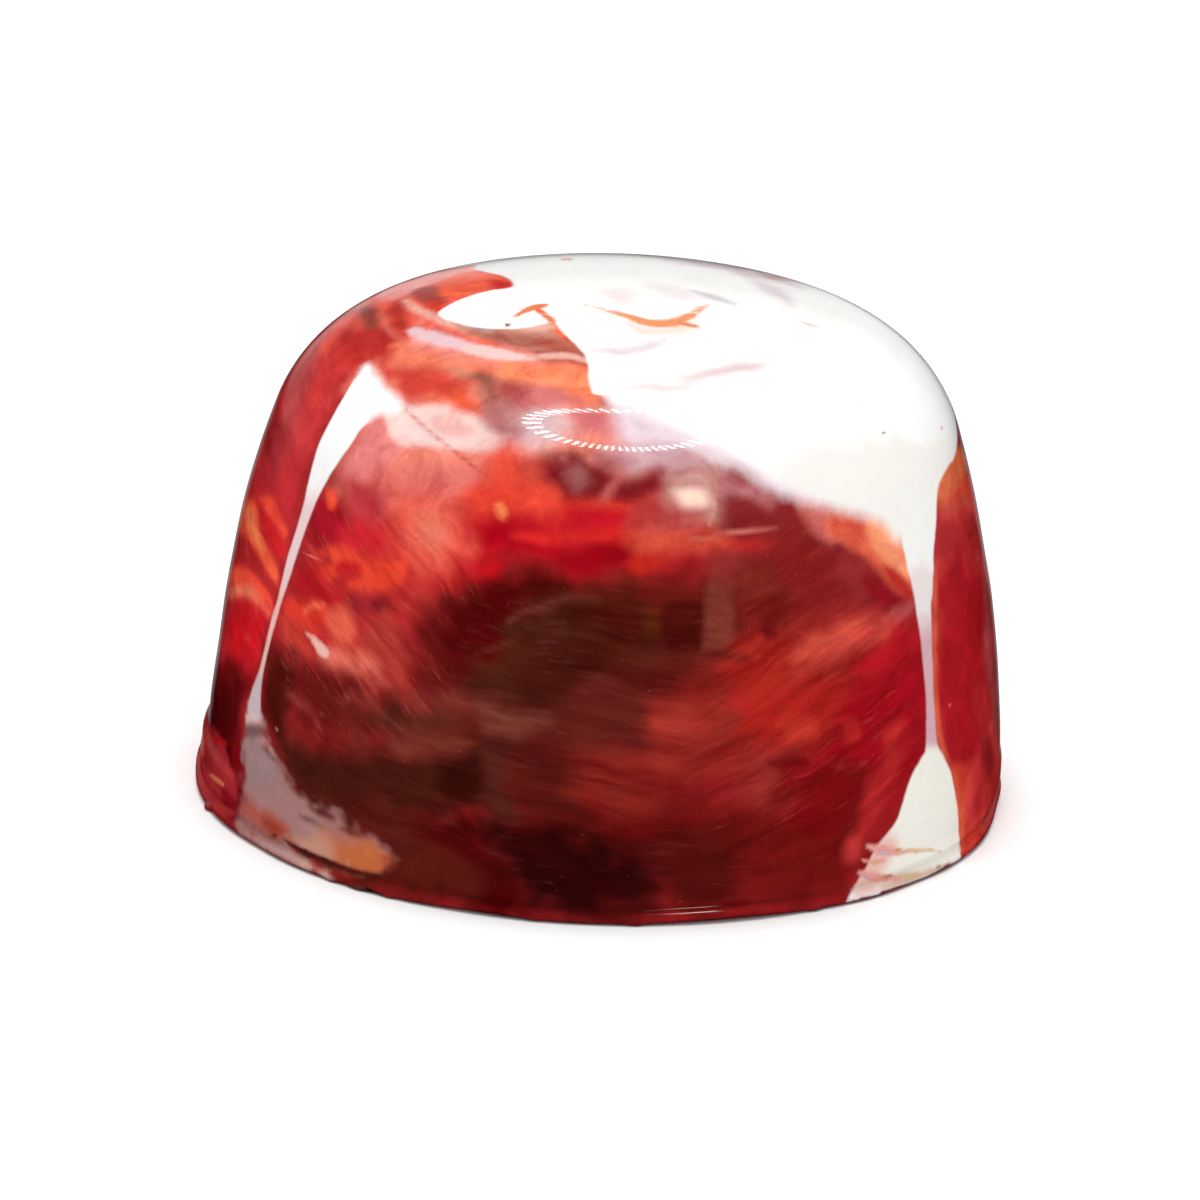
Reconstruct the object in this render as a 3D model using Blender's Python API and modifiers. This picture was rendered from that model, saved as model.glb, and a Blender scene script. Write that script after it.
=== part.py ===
"""A moulded praline: a shiny dome of chocolate that leans a little, on a thin and uneven foot.

Metres, +Z up. The origin is the middle of the flat underside, and -Y is the front.
"""

import math

import bpy
from mathutils import Vector, noise

MM = 0.001

# The dome, from top to bottom, is three arcs that run into each other.
HEIGHT = 19.5 * MM
CROWN_RADIUS = 30.0 * MM
CROWN_END_SLOPE = math.radians(17.6)
SHOULDER_RADIUS = 5.7 * MM
SHOULDER_END_SLOPE = math.radians(71.8)
WALL_RADIUS = 48.0 * MM
LEAN = 0.30 * MM                      # how far the top is shifted towards +X

# The foot: a rounded lower corner, and a crease that parts a low rim from the wall.
CORNER_RADIUS = 0.30 * MM
RIM_PROUD = 0.08 * MM
CREASE_HEIGHT = 0.62 * MM
CREASE_DEPTH = 0.12 * MM
CREASE_HALF_HEIGHT = 0.16 * MM

# How finely the turned outline is divided.
TURN_STEPS = 84
CROWN_STEPS = 9
SHOULDER_STEPS = 11
WALL_STEPS = 13
FOOT_STEPS = 15
CORNER_STEPS = 4
UNDERSIDE_RINGS = (0.97, 0.70, 0.35, 0.0)      # shares of the flat's radius
FOOT_TOP = 2.6 * MM                   # below this height the wall has its finer foot steps

# Where the praline departs from a true turned shape. Each entry holds a direction round the
# axis and a half-width, in degrees, then how far the surface moves there: swellings and rim
# lobes outwards, chips in the lower edge upwards.
FOOT_SWELLINGS = (
    (183.0, 34.0, 0.20 * MM),
    (357.0, 16.0, 0.08 * MM),
    (78.0, 24.0, 0.12 * MM),
)
RIM_LOBES = (
    (196.0, 20.0, 0.14 * MM),
    (229.0, 12.0, 0.07 * MM),
    (311.0, 10.0, 0.12 * MM),
    (332.0, 13.0, 0.20 * MM),
    (351.0, 8.0, -0.14 * MM),
    (38.0, 12.0, -0.12 * MM),
    (72.0, 18.0, 0.08 * MM),
    (118.0, 15.0, -0.16 * MM),
)
EDGE_CHIPS = (
    (254.0, 7.0, 0.10 * MM),
    (289.0, 9.0, 0.16 * MM),
    (20.0, 8.0, 0.10 * MM),
    (134.0, 9.0, 0.14 * MM),
)
SWELLING_FULL = 1.70 * MM             # the swellings are whole up to here
SWELLING_END = 2.25 * MM              # and gone above here
LOBE_END = 1.20 * MM
CHIP_END = 0.90 * MM
LEFT_FLAT_DIRECTION = 180.0
LEFT_FLAT_HALF_WIDTH = 48.0
LEFT_FLAT_DEPTH = 0.30 * MM
LEFT_FLAT_FULL = 4.6 * MM
LEFT_FLAT_END = 13.0 * MM
WAVE_DEPTH = 0.05 * MM
WAVE_SIZE = 2.6 * MM
UNDERSIDE_FLAT = 0.88                 # share of the foot's radius inside which nothing moves
UNDERSIDE_END = 0.965                 # and outside which the edge may be chipped


def smooth_step(start, end, value):
    """0 before start and 1 past end, eased between them."""
    share = min(max((value - start) / (end - start), 0.0), 1.0)
    return share * share * (3.0 - 2.0 * share)


def bell(direction, centre, half_width):
    """1 at the centre direction, falling away over the half-width, all in degrees."""
    apart = (direction - centre + 180.0) % 360.0 - 180.0
    return math.exp(-(apart / half_width) ** 2)


def arc(start, slope_from, slope_to, radius, steps):
    """Points after start on an outward arc whose slope below level grows between two angles."""
    points = []
    for step in range(1, steps + 1):
        slope = slope_from + (slope_to - slope_from) * step / steps
        out = start[0] + radius * (math.sin(slope) - math.sin(slope_from))
        up = start[1] - radius * (math.cos(slope_from) - math.cos(slope))
        points.append((out, up))
    return points


def wall_slope_at(shoulder_foot, height):
    """The wall arc's slope where it comes down to a height."""
    return math.acos(math.cos(SHOULDER_END_SLOPE) - (shoulder_foot[1] - height) / WALL_RADIUS)


def outline():
    """The praline's half outline, from the top down its outer side and in under it."""
    points = [(0.0, HEIGHT)]
    points += arc(points[-1], 0.0, CROWN_END_SLOPE, CROWN_RADIUS, CROWN_STEPS)
    points += arc(points[-1], CROWN_END_SLOPE, SHOULDER_END_SLOPE, SHOULDER_RADIUS, SHOULDER_STEPS)
    shoulder_foot = points[-1]
    foot_slope = wall_slope_at(shoulder_foot, FOOT_TOP)
    corner_slope = wall_slope_at(shoulder_foot, CORNER_RADIUS)
    points += arc(shoulder_foot, SHOULDER_END_SLOPE, foot_slope, WALL_RADIUS, WALL_STEPS)
    points += arc(points[-1], foot_slope, corner_slope, WALL_RADIUS, FOOT_STEPS)
    corner_out = points[-1][0] - CORNER_RADIUS
    for step in range(1, CORNER_STEPS + 1):
        turn = math.radians(90.0) * step / CORNER_STEPS
        points.append((corner_out + CORNER_RADIUS * math.cos(turn),
                       CORNER_RADIUS - CORNER_RADIUS * math.sin(turn)))
    points[-1] = (corner_out, 0.0)
    for share in UNDERSIDE_RINGS:
        points.append((corner_out * share, 0.0))
    return points


def foot_relief(direction, height):
    """How far the rim, its crease, its lobes and the swellings move the foot outwards."""
    swelling_share = 1.0 - smooth_step(SWELLING_FULL, SWELLING_END, height)
    lobe_share = 1.0 - smooth_step(CREASE_HEIGHT, LOBE_END, height)
    rim_share = 1.0 - smooth_step(CREASE_HEIGHT - CREASE_HALF_HEIGHT, CREASE_HEIGHT, height)
    crease_share = math.exp(-((height - CREASE_HEIGHT) / CREASE_HALF_HEIGHT) ** 2)
    outwards = RIM_PROUD * rim_share - CREASE_DEPTH * crease_share
    for centre, half_width, depth in FOOT_SWELLINGS:
        outwards += depth * swelling_share * bell(direction, centre, half_width)
    for centre, half_width, depth in RIM_LOBES:
        outwards += depth * lobe_share * bell(direction, centre, half_width)
    return outwards


def chipped(direction, height):
    """How far the chips lift the rim's lower edge."""
    share = 1.0 - smooth_step(0.0, CHIP_END, height)
    return share * sum(lift * bell(direction, centre, width) for centre, width, lift in EDGE_CHIPS)


def wall_relief(direction, height):
    """The broad flat on the left wall."""
    share = 1.0 - smooth_step(LEFT_FLAT_FULL, LEFT_FLAT_END, height)
    return -LEFT_FLAT_DEPTH * share * bell(direction, LEFT_FLAT_DIRECTION, LEFT_FLAT_HALF_WIDTH)


def shaped(point, foot_radius):
    """A point of the turned shape, moved to where the real, uneven surface is."""
    out = math.hypot(point.x, point.y)
    leaning = LEAN * point.z / HEIGHT
    if out < 1e-7:
        return Vector((leaning, 0.0, point.z))
    direction = math.degrees(math.atan2(point.y, point.x))
    wave = WAVE_DEPTH * noise.noise(point / WAVE_SIZE) * (1.0 - smooth_step(FOOT_TOP, HEIGHT, point.z))
    moved = foot_relief(direction, point.z) + wall_relief(direction, point.z) + wave
    lifted = 0.0
    if point.z < CREASE_HEIGHT:
        moved *= smooth_step(UNDERSIDE_FLAT, UNDERSIDE_END, out / foot_radius)
        lifted = chipped(direction, point.z) * smooth_step(UNDERSIDE_END, 1.0, out / foot_radius)
    scale = (out + moved) / out
    return Vector((point.x * scale + leaning, point.y * scale, point.z + lifted))


def turned_mesh(name, points):
    """A half outline turned about Z by a Screw modifier, as a closed mesh."""
    line = bpy.data.meshes.new(name + "_outline")
    vertices = [(out, 0.0, up) for out, up in points]
    line.from_pydata(vertices, [(i, i + 1) for i in range(len(points) - 1)], [])
    guide = bpy.data.objects.new(name + "_outline", line)
    bpy.context.scene.collection.objects.link(guide)
    screw = guide.modifiers.new("Turn", "SCREW")
    screw.axis = "Z"
    screw.angle = math.radians(360.0)
    screw.steps = TURN_STEPS
    screw.render_steps = TURN_STEPS
    screw.use_merge_vertices = True
    screw.merge_threshold = 1e-6
    graph = bpy.context.evaluated_depsgraph_get()
    mesh = bpy.data.meshes.new_from_object(guide.evaluated_get(graph))
    mesh.name = name
    bpy.data.objects.remove(guide)
    bpy.data.meshes.remove(line)
    return mesh


def chocolate():
    """Shiny deep red chocolate."""
    material = bpy.data.materials.new("red_chocolate")
    material.use_nodes = True
    shader = material.node_tree.nodes["Principled BSDF"]
    shader.inputs["Base Color"].default_value = (0.42, 0.022, 0.025, 1.0)
    shader.inputs["Roughness"].default_value = 0.18
    shader.inputs["Metallic"].default_value = 0.0
    shader.inputs["Coat Weight"].default_value = 0.6
    return material


def make_praline(collection):
    """The whole praline, one solid."""
    points = outline()
    foot_radius = max(out for out, up in points)
    mesh = turned_mesh("praline", points)
    for vertex in mesh.vertices:
        vertex.co = shaped(vertex.co, foot_radius)
    mesh.materials.append(chocolate())
    mesh.shade_smooth()
    mesh.set_sharp_from_angle(angle=math.radians(50.0))
    praline = bpy.data.objects.new("praline", mesh)
    collection.objects.link(praline)
    return praline


def main():
    for old in list(bpy.data.objects):
        bpy.data.objects.remove(old)
    collection = bpy.data.collections.new("Moulded praline")
    bpy.context.scene.collection.children.link(collection)
    make_praline(collection)


main()
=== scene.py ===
"""The looks of the moulded praline: its fine surface, marbled and shiny paint, light and camera."""

import math

import bmesh
import bpy
import numpy as np
from mathutils import Matrix, Vector, noise
from mathutils.bvhtree import BVHTree
from mathutils.interpolate import poly_3d_calc


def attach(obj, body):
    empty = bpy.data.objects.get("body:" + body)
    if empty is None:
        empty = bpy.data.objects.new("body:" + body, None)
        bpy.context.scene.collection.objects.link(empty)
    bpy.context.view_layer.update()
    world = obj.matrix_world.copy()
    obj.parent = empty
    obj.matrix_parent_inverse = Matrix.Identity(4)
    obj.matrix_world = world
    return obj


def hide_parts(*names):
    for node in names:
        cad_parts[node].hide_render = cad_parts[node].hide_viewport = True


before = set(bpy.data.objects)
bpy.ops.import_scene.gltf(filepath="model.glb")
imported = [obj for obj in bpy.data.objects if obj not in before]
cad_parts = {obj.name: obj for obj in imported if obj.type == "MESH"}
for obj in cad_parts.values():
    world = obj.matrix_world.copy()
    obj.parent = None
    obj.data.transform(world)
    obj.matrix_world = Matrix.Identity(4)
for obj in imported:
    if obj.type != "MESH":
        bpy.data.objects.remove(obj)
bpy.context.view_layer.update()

# Lengths below are in millimetres, angles in degrees, and photograph places in pixels of 1200 x 1200.
METRES = 0.001

# ---------------------------------------------------------------- the form, as the solid has it
HEIGHT = 19.5
CROWN_RADIUS = 30.0
CROWN_END_SLOPE = 17.6
SHOULDER_RADIUS = 5.7
SHOULDER_END_SLOPE = 71.8
WALL_RADIUS = 48.0
LEAN = 0.30

CORNER_RADIUS = 0.30
RIM_PROUD = 0.08
CREASE_HEIGHT = 0.62
CREASE_DEPTH = 0.12
CREASE_HALF_HEIGHT = 0.16
FOOT_TOP = 2.6

FOOT_SWELLINGS = (
    (183.0, 34.0, 0.20),
    (357.0, 16.0, 0.08),
    (78.0, 24.0, 0.12),
)
RIM_LOBES = (
    (196.0, 20.0, 0.14),
    (229.0, 12.0, 0.07),
    (311.0, 10.0, 0.12),
    (332.0, 13.0, 0.20),
    (351.0, 8.0, -0.14),
    (38.0, 12.0, -0.12),
    (72.0, 18.0, 0.08),
    (118.0, 15.0, -0.16),
)
EDGE_CHIPS = (
    (254.0, 7.0, 0.10),
    (289.0, 9.0, 0.16),
    (20.0, 8.0, 0.10),
    (134.0, 9.0, 0.14),
)
SWELLING_FULL = 1.70
SWELLING_END = 2.25
LOBE_END = 1.20
CHIP_END = 0.90
LEFT_FLAT_DIRECTION = 180.0
LEFT_FLAT_HALF_WIDTH = 48.0
LEFT_FLAT_DEPTH = 0.30
LEFT_FLAT_FULL = 4.6
LEFT_FLAT_END = 13.0
WAVE_DEPTH = 0.05
WAVE_SIZE = 2.6
UNDERSIDE_FLAT = 0.88
UNDERSIDE_END = 0.965

# How finely the surface is divided: columns round the axis, and rings down each stretch of the outline.
COLUMNS = 480
FRONT = -90.0
FRONT_CLOSER = 0.33
TURN_SAMPLES = 3601
CROWN_RINGS = 46
SHOULDER_RINGS = 30
WALL_RINGS = 74
FOOT_RINGS = 26
CORNER_RINGS = 6
UNDERSIDE_RINGS = 8

# The crumbs and scrapings left along the foot's lower edge: direction, half-width, how far each stands out.
FOOT_CRUMBS = (
    (198.5, 0.7, 0.22),
    (231.0, 1.1, 0.12),
    (235.5, 1.6, 0.16),
    (240.5, 1.0, 0.11),
    (262.0, 0.8, 0.08),
    (276.0, 1.2, 0.12),
    (302.0, 0.8, 0.14),
    (25.0, 1.1, 0.12),
    (96.0, 1.4, 0.14),
    (148.0, 0.9, 0.16),
)
CRUMB_TOP = 0.45

# The map for baked colours: the outer skin's disc, and the smaller one of the underside.
BAKE_OUTER_RADIUS = 0.48
BAKE_UNDER_RADIUS = 0.065
BAKE_UNDER_SPAN = 15.6
BAKE_GAP = 0.01

# ---------------------------------------------------------------- the camera
PHOTO_SIDE = 1200.0
CAMERA_DISTANCE = 300.0
CAMERA_ELEVATION = 18.7
CAMERA_ROLL = 2.16                    # the praline's axis leans to the right in the picture
PIXEL = 0.0375                        # one photograph pixel, at the camera's distance
AIM_HEIGHT = 9.0                      # this point of the axis ...
AIM_SEEN = (605.9, 554.7)             # ... is seen here
SENSOR = 36.0
CLIP_START = 0.01


# ---------------------------------------------------------------- the paint
# Every shape below has its colour as it is seen (red, green, blue; 255 is the brightest the picture
# shows, and what is lit beyond that has more), the softness of its edge in mm, and its points as they
# are seen in pixels. A stroke also has its width in pixels, one number or one for each point.
RED = (158, 28, 31)
WHITE = (288, 287, 284)
SEEN_MIDDLE = (600.0, 600.0)
PATH_SPACING = 5.0                    # how closely a curve is sampled, in pixels
DEPTH_LIMIT = 14.0                    # depths are kept this many softnesses from an edge
RAGGED_SHARE = 0.3                    # how ragged an edge is by itself, as a share of its softness
WOBBLE_SIZE = 0.9
WOBBLE_SEED = 3.0
RIPPLE_SIZE = 0.35
RIPPLE_SEED = 5.0
RIPPLE_SHARE = 0.7
THINNEST_SEEN = 0.6                   # a stroke's least width, in pixels
THINNEST_PLACED = 0.02                # and in mm
EDGE_STEP = 0.008                     # a point past the outline moves inwards by such shares ...
EDGE_STEPS = 40                       # ... at most this often, until it lands on the praline
SWIRLS = ((2.4, 0.55, 11.0), (0.9, 0.30, 13.0))      # size, depth and seed of the soft shapes' swirl
REACH = 1.6                           # how far outside a shape its effect is worked out, in mm

# The far side is a guess: the seen side's broader shapes again, swirled further. They are laid twice,
# once mirrored in the line at half of FAR_MIRROR, and once turned round the axis by FAR_TURN.
FAR_MIRROR = 16.0
FAR_TURN = 194.0
FAR_SWIRLS = ((5.5, 3.0, 31.0), (2.6, 1.1, 33.0))
FAR_SOFTEST_LEFT_OUT = 0.2
FAR_REACH = 4.2
SWIRL_SOFT_FROM = 0.15                # shapes softer than this swirl a little
SWIRL_SOFT_TO = 0.6                   # and those softer than this in full


def stroke(name, colour, soft, width, *points, strength=1.0, ragged=None):
    """A line of some width through seen points."""
    ragged = RAGGED_SHARE * soft if ragged is None else ragged
    return {"name": name, "colour": colour, "soft": soft, "points": points, "width": width,
        "strength": strength, "ragged": ragged}


def patch(name, colour, soft, *points, strength=1.0, ragged=None):
    """A closed shape through seen points."""
    return stroke(name, colour, soft, None, *points, strength=strength, ragged=ragged)


# The red and brown chocolate, from broad fields of colour down to its swirls, with some painted reflection,
# sheen and highlight among them.
GROUND = (
    # the broad fields
    patch("left wall", (205, 32, 40), 1.04, (300, 375), (322, 400), (312, 450), (300, 500), (275, 590),
        (255, 690), (212, 690), (225, 590), (246, 480), (272, 405)),
    patch("low left strip", (90, 2, 6), 0.7, (214, 672), (252, 668), (244, 700), (240, 745), (240, 812),
        (222, 800), (206, 745)),
    patch("left shoulder", (212, 55, 57), 0.91, (300, 360), (330, 325), (372, 335), (362, 366), (340, 395),
        (318, 440), (300, 450), (285, 410)),
    # pale salmon: partly the chocolate's colour, partly a painted haze of reflected light over the upper
    # front
    patch("upper front", (262, 150, 126), 1.17, (370, 360), (440, 345), (587, 371), (606, 404), (640, 450),
        (600, 480), (500, 470), (400, 480), (340, 500), (350, 420)),
    patch("front left", (186, 33, 34), 1.17, (330, 500), (400, 480), (500, 490), (480, 560), (440, 600),
        (400, 640), (300, 660), (282, 620), (300, 560)),
    patch("front middle", (201, 24, 34), 0.91, (440, 505), (520, 480), (600, 485), (720, 500), (800, 535),
        (760, 560), (700, 565), (600, 575), (520, 570), (460, 590)),
    patch("front right", (134, 25, 34), 1.04, (700, 490), (760, 490), (830, 520), (905, 570), (920, 640),
        (850, 640), (760, 630), (700, 560)),
    patch("right rust", (155, 35, 27), 1.17, (690, 640), (760, 620), (840, 610), (905, 620), (915, 680),
        (880, 730), (800, 755), (700, 765), (640, 790), (560, 800), (540, 780), (600, 755), (660, 720)),
    patch("right crimson", (159, 2, 19), 1.05, (840, 700), (925, 640), (926, 755), (892, 820), (850, 870),
        (800, 860), (780, 800), (820, 750)),
    patch("right strip", (223, 62, 60), 0.88, (946, 480), (970, 480), (996, 640), (1000, 790), (966, 856),
        (942, 735), (935, 620), (937, 520)),
    patch("middle dark", (94, 24, 17), 1.17, (440, 620), (500, 575), (600, 575), (680, 585), (760, 575),
        (800, 600), (740, 640), (690, 690), (640, 740), (560, 780), (480, 790), (420, 760), (430, 690)),
    patch("lower left brown", (71, 21, 11), 0.88, (262, 680), (300, 735), (360, 745), (480, 760),
        (490, 800), (430, 810), (330, 835), (290, 790)),
    patch("lower left maroon", (89, 23, 16), 0.88, (310, 800), (420, 805), (440, 850), (420, 900),
        (330, 885), (380, 850)),
    patch("lower red brown", (114, 14, 13), 1.04, (500, 760), (560, 750), (600, 760), (700, 790),
        (800, 800), (870, 790), (850, 880), (700, 890), (560, 860), (490, 820)),
    patch("foot dark", (36, 2, 2), 0.91, (480, 818), (560, 832), (640, 845), (660, 880), (640, 915),
        (540, 915), (500, 870)),

    # the left wall's waves
    patch("wall, dusk", (176, 33, 44), 0.88, (262, 430), (284, 425), (280, 470), (262, 478)),
    patch("wave 1", (268, 95, 57), 0.22, (241, 504), (252, 502), (258, 512), (260, 530), (268, 548),
        (277, 566), (277, 582), (268, 574), (258, 556), (248, 538), (239, 528)),
    stroke("wave 1, peach", (281, 126, 79), 0.19, (5, 10, 8, 4), (247, 507), (251, 520), (256, 536),
        (264, 552)),
    patch("wave 2", (250, 72, 47), 0.19, (260, 498), (272, 498), (278, 508), (282, 522), (288, 530),
        (284, 538), (276, 530), (270, 516), (264, 508)),
    patch("between the waves", (225, 14, 27), 0.22, (264, 516), (272, 520), (280, 536), (284, 550),
        (276, 556), (266, 538)),
    patch("dark wave", (182, 32, 34), 0.22, (232, 540), (243, 536), (252, 546), (262, 562), (270, 578),
        (278, 592), (274, 597), (262, 586), (250, 572), (240, 562), (230, 562)),
    patch("wave 3", (264, 79, 53), 0.22, (232, 568), (246, 570), (256, 578), (266, 592), (272, 604),
        (262, 600), (250, 592), (240, 584), (228, 582)),
    stroke("wave 3, peach", (281, 128, 94), 0.19, (8, 12, 9, 5), (226, 595), (244, 590), (257, 600),
        (270, 614)),
    patch("wall, crimson", (221, 12, 28), 0.61, (232, 612), (256, 608), (266, 620), (258, 650), (250, 668),
        (234, 664), (228, 640)),
    patch("wall, dark low", (117, 5, 12), 0.7, (222, 656), (250, 664), (246, 684), (216, 684)),
    stroke("low strip, crimson", (135, 0, 12), 0.35, (8, 10, 8), (236, 740), (236, 765), (238, 790)),
    patch("lip", (173, 36, 43), 0.19, (201, 724), (214, 728), (226, 750), (232, 775), (238, 795),
        (232, 812), (220, 816), (206, 803), (196, 792), (196, 775), (200, 760), (199, 740)),
    patch("lip, crimson", (138, 1, 22), 0.19, (222, 788), (234, 798), (240, 812), (232, 820), (222, 800)),

    # the left shoulder
    patch("wall top, crimson", (231, 64, 63), 0.7, (326, 350), (372, 330), (372, 358), (346, 376),
        (318, 396)),
    stroke("shoulder salmon", (257, 86, 66), 0.35, (6, 14, 8), (350, 318), (334, 333), (316, 362)),
    # greyish pink along the left edge: painted sheen, the edge mirroring the pale surroundings
    stroke("shoulder rim, painted sheen", (229, 98, 97), 0.44, (4, 14, 8), (328, 322), (310, 350), (292, 388)),
    stroke("shoulder dusk", (200, 65, 65), 0.53, (8, 20, 10), (318, 352), (300, 385), (288, 420)),

    # between the two drips, the upper part; its hazes are painted reflection of the studio's light
    patch("finger", (240, 134, 132), 0.44, (366, 428), (378, 416), (391, 424), (396, 446), (380, 470),
        (350, 480), (342, 466)),
    # the pink haze, its rosy middle, its pale rim and the haze below: painted reflection, pale veils where
    # the shoulder mirrors the light
    patch("pink haze, painted reflection", (258, 220, 213), 0.17, (390, 402), (418, 405), (436, 403), (462, 407), (486, 420),
        (506, 440), (496, 452), (474, 452), (446, 448), (424, 446), (400, 444), (388, 428), ragged=0.09),
    patch("haze, rosy, painted reflection", (254, 196, 188), 0.17, (432, 419), (446, 414), (464, 421), (476, 432), (452, 436),
        (436, 430)),
    stroke("haze's pale rim, painted reflection", (261, 233, 227), 0.2, (5, 8, 7, 6, 4), (396, 408), (408, 428), (430, 441),
        (464, 446), (490, 444)),
    patch("haze below, painted reflection", (232, 115, 106), 0.9, (372, 450), (400, 452), (450, 460), (490, 462), (494, 486),
        (450, 506), (400, 506), (366, 478)),
    patch("mauve by the ring", (230, 187, 190), 0.61, (500, 404), (530, 404), (560, 412), (566, 436),
        (520, 440), (500, 428)),
    patch("red in the ring", (223, 116, 119), 0.44, (566, 416), (584, 412), (608, 420), (604, 434),
        (578, 436)),
    patch("pale below the cap", (251, 224, 233), 0.7, (612, 402), (640, 408), (700, 440), (712, 456),
        (650, 452), (612, 438)),
    patch("mauve band", (214, 169, 177), 0.61, (606, 446), (660, 446), (712, 450), (726, 470), (690, 476),
        (650, 466), (610, 462)),
    patch("purple brown", (130, 24, 33), 0.61, (528, 458), (556, 448), (600, 456), (640, 468), (664, 480),
        (640, 494), (610, 500), (580, 504), (550, 496), (530, 476)),
    patch("purple brown, pale spot", (161, 89, 89), 0.35, (566, 472), (582, 466), (594, 478), (580, 490)),
    stroke("spot by it", (172, 87, 90), 0.14, 7, (560, 457), (567, 459)),
    stroke("pink streak down", (198, 95, 88), 0.22, (3, 8, 4), (624, 468), (610, 490), (592, 512)),
    # pale where the small softbox is mirrored: partly a painted reflection of the softbox
    patch("softbox fringe, painted reflection", (198, 137, 129), 0.61, (668, 474), (720, 474), (722, 528), (668, 530)),
    patch("dusky by the cap", (203, 126, 131), 0.53, (722, 480), (750, 480), (776, 500), (744, 508),
        (722, 504)),
    patch("dark by the cap", (137, 36, 39), 0.53, (722, 506), (752, 498), (790, 510), (830, 540),
        (800, 556), (744, 530), (724, 530)),
    patch("upper red orange", (230, 74, 57), 0.7, (498, 446), (528, 444), (536, 476), (560, 500),
        (520, 506), (494, 490)),
    patch("orange red streak", (246, 75, 54), 0.61, (470, 492), (520, 486), (570, 502), (640, 500),
        (640, 512), (560, 516), (500, 516), (470, 506)),
    patch("crimson 1", (180, 1, 25), 0.39, (476, 528), (500, 522), (530, 534), (560, 542), (556, 556),
        (520, 552), (486, 552)),
    patch("crimson 2", (202, 19, 35), 0.39, (566, 512), (600, 506), (640, 514), (648, 522), (620, 530),
        (580, 530)),
    patch("crimson 3", (158, 1, 18), 0.39, (560, 552), (600, 544), (640, 548), (630, 566), (600, 572),
        (560, 566)),
    stroke("streak between", (223, 39, 39), 0.24, (4, 12, 14, 8), (510, 536), (550, 538), (600, 536),
        (640, 540)),
    patch("orange beside", (217, 78, 58), 0.53, (640, 530), (700, 534), (730, 542), (720, 556), (670, 560),
        (640, 556)),
    stroke("orange beside, end", (195, 40, 36), 0.35, (12, 8, 4), (726, 546), (756, 546), (784, 542)),
    patch("muted, below the softbox", (190, 63, 58), 0.61, (646, 500), (672, 498), (700, 520), (690, 532),
        (650, 526)),
    stroke("pale thin line", (224, 126, 108), 0.09, (1, 3, 3, 1), (690, 541), (720, 535), (750, 530),
        (778, 527)),

    # left of the front
    patch("crimson by the drip", (164, 4, 27), 0.53, (314, 510), (330, 498), (344, 506), (346, 530),
        (336, 548), (316, 556), (304, 552), (308, 530)),
    stroke("orange by the left drip", (242, 73, 48), 0.16, (6, 11, 6), (330, 490), (332, 499), (331, 508)),
    patch("dusky, upper left", (192, 53, 61), 0.61, (342, 478), (366, 474), (386, 500), (380, 520),
        (352, 518)),
    patch("red, upper left", (208, 31, 43), 0.7, (346, 524), (384, 520), (400, 536), (392, 552),
        (352, 550), (340, 540)),
    patch("salmon field", (239, 90, 74), 0.88, (392, 500), (420, 490), (456, 500), (470, 520), (460, 548),
        (430, 560), (402, 548)),
    patch("peach in it", (233, 115, 95), 0.53, (416, 512), (438, 508), (448, 526), (436, 540), (420, 536)),
    patch("flame", (227, 62, 41), 0.22, (316, 552), (336, 546), (352, 548), (368, 556), (386, 562),
        (408, 558), (406, 576), (396, 590), (372, 594), (350, 590), (346, 582), (362, 577), (356, 570),
        (342, 572), (330, 580), (318, 584), (312, 578), (326, 566), (330, 558)),
    patch("flame's heart", (189, 8, 26), 0.19, (342, 560), (356, 562), (362, 570), (346, 574), (336, 568)),
    patch("crimson below the flame", (180, 3, 22), 0.44, (296, 570), (312, 574), (330, 586), (334, 598),
        (312, 602), (296, 592)),
    patch("dusky middle", (153, 29, 39), 0.53, (346, 594), (380, 596), (400, 600), (404, 618), (378, 624),
        (352, 616)),
    stroke("dusky spot", (114, 14, 25), 0.2, (8, 12, 8), (372, 606), (382, 606), (390, 604)),
    patch("curl", (210, 45, 31), 0.22, (284, 600), (302, 600), (322, 602), (332, 612), (326, 626),
        (312, 622), (318, 634), (300, 628), (284, 616)),
    stroke("curl's rim", (249, 102, 68), 0.14, (3, 6, 5), (304, 612), (312, 606), (324, 606)),
    patch("salmon by the curl", (220, 86, 65), 0.35, (330, 608), (344, 606), (352, 618), (352, 636),
        (340, 640), (330, 628)),
    patch("below the curl", (208, 62, 51), 0.61, (282, 626), (306, 634), (312, 652), (300, 662),
        (280, 648)),
    patch("salmon band", (229, 107, 89), 0.53, (324, 646), (344, 648), (366, 662), (392, 686), (372, 686),
        (346, 674), (326, 662)),
    patch("red by the band", (176, 56, 47), 0.7, (356, 632), (392, 626), (410, 648), (404, 672),
        (384, 672), (362, 652)),
    patch("rust, left middle", (184, 45, 41), 0.7, (400, 590), (424, 586), (440, 600), (420, 625),
        (402, 620)),
    patch("maroon, left middle", (103, 14, 15), 0.88, (424, 620), (450, 600), (470, 610), (474, 690),
        (440, 700), (416, 672)),
    patch("below the drip", (82, 14, 8), 0.53, (266, 655), (290, 652), (292, 680), (288, 712), (276, 730),
        (264, 716), (262, 680)),
    patch("crimson, left low", (105, 12, 14), 0.61, (292, 664), (330, 668), (350, 690), (352, 724),
        (322, 736), (296, 716)),
    stroke("pale brush", (143, 47, 42), 0.2, (4, 9, 6, 4), (286, 692), (300, 702), (314, 716), (322, 732)),
    patch("brush haze", (104, 26, 22), 0.88, (330, 700), (360, 694), (400, 712), (410, 734), (350, 740)),
    stroke("brush light", (153, 58, 49), 0.35, (4, 8, 4), (350, 700), (368, 708), (388, 716)),
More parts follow.
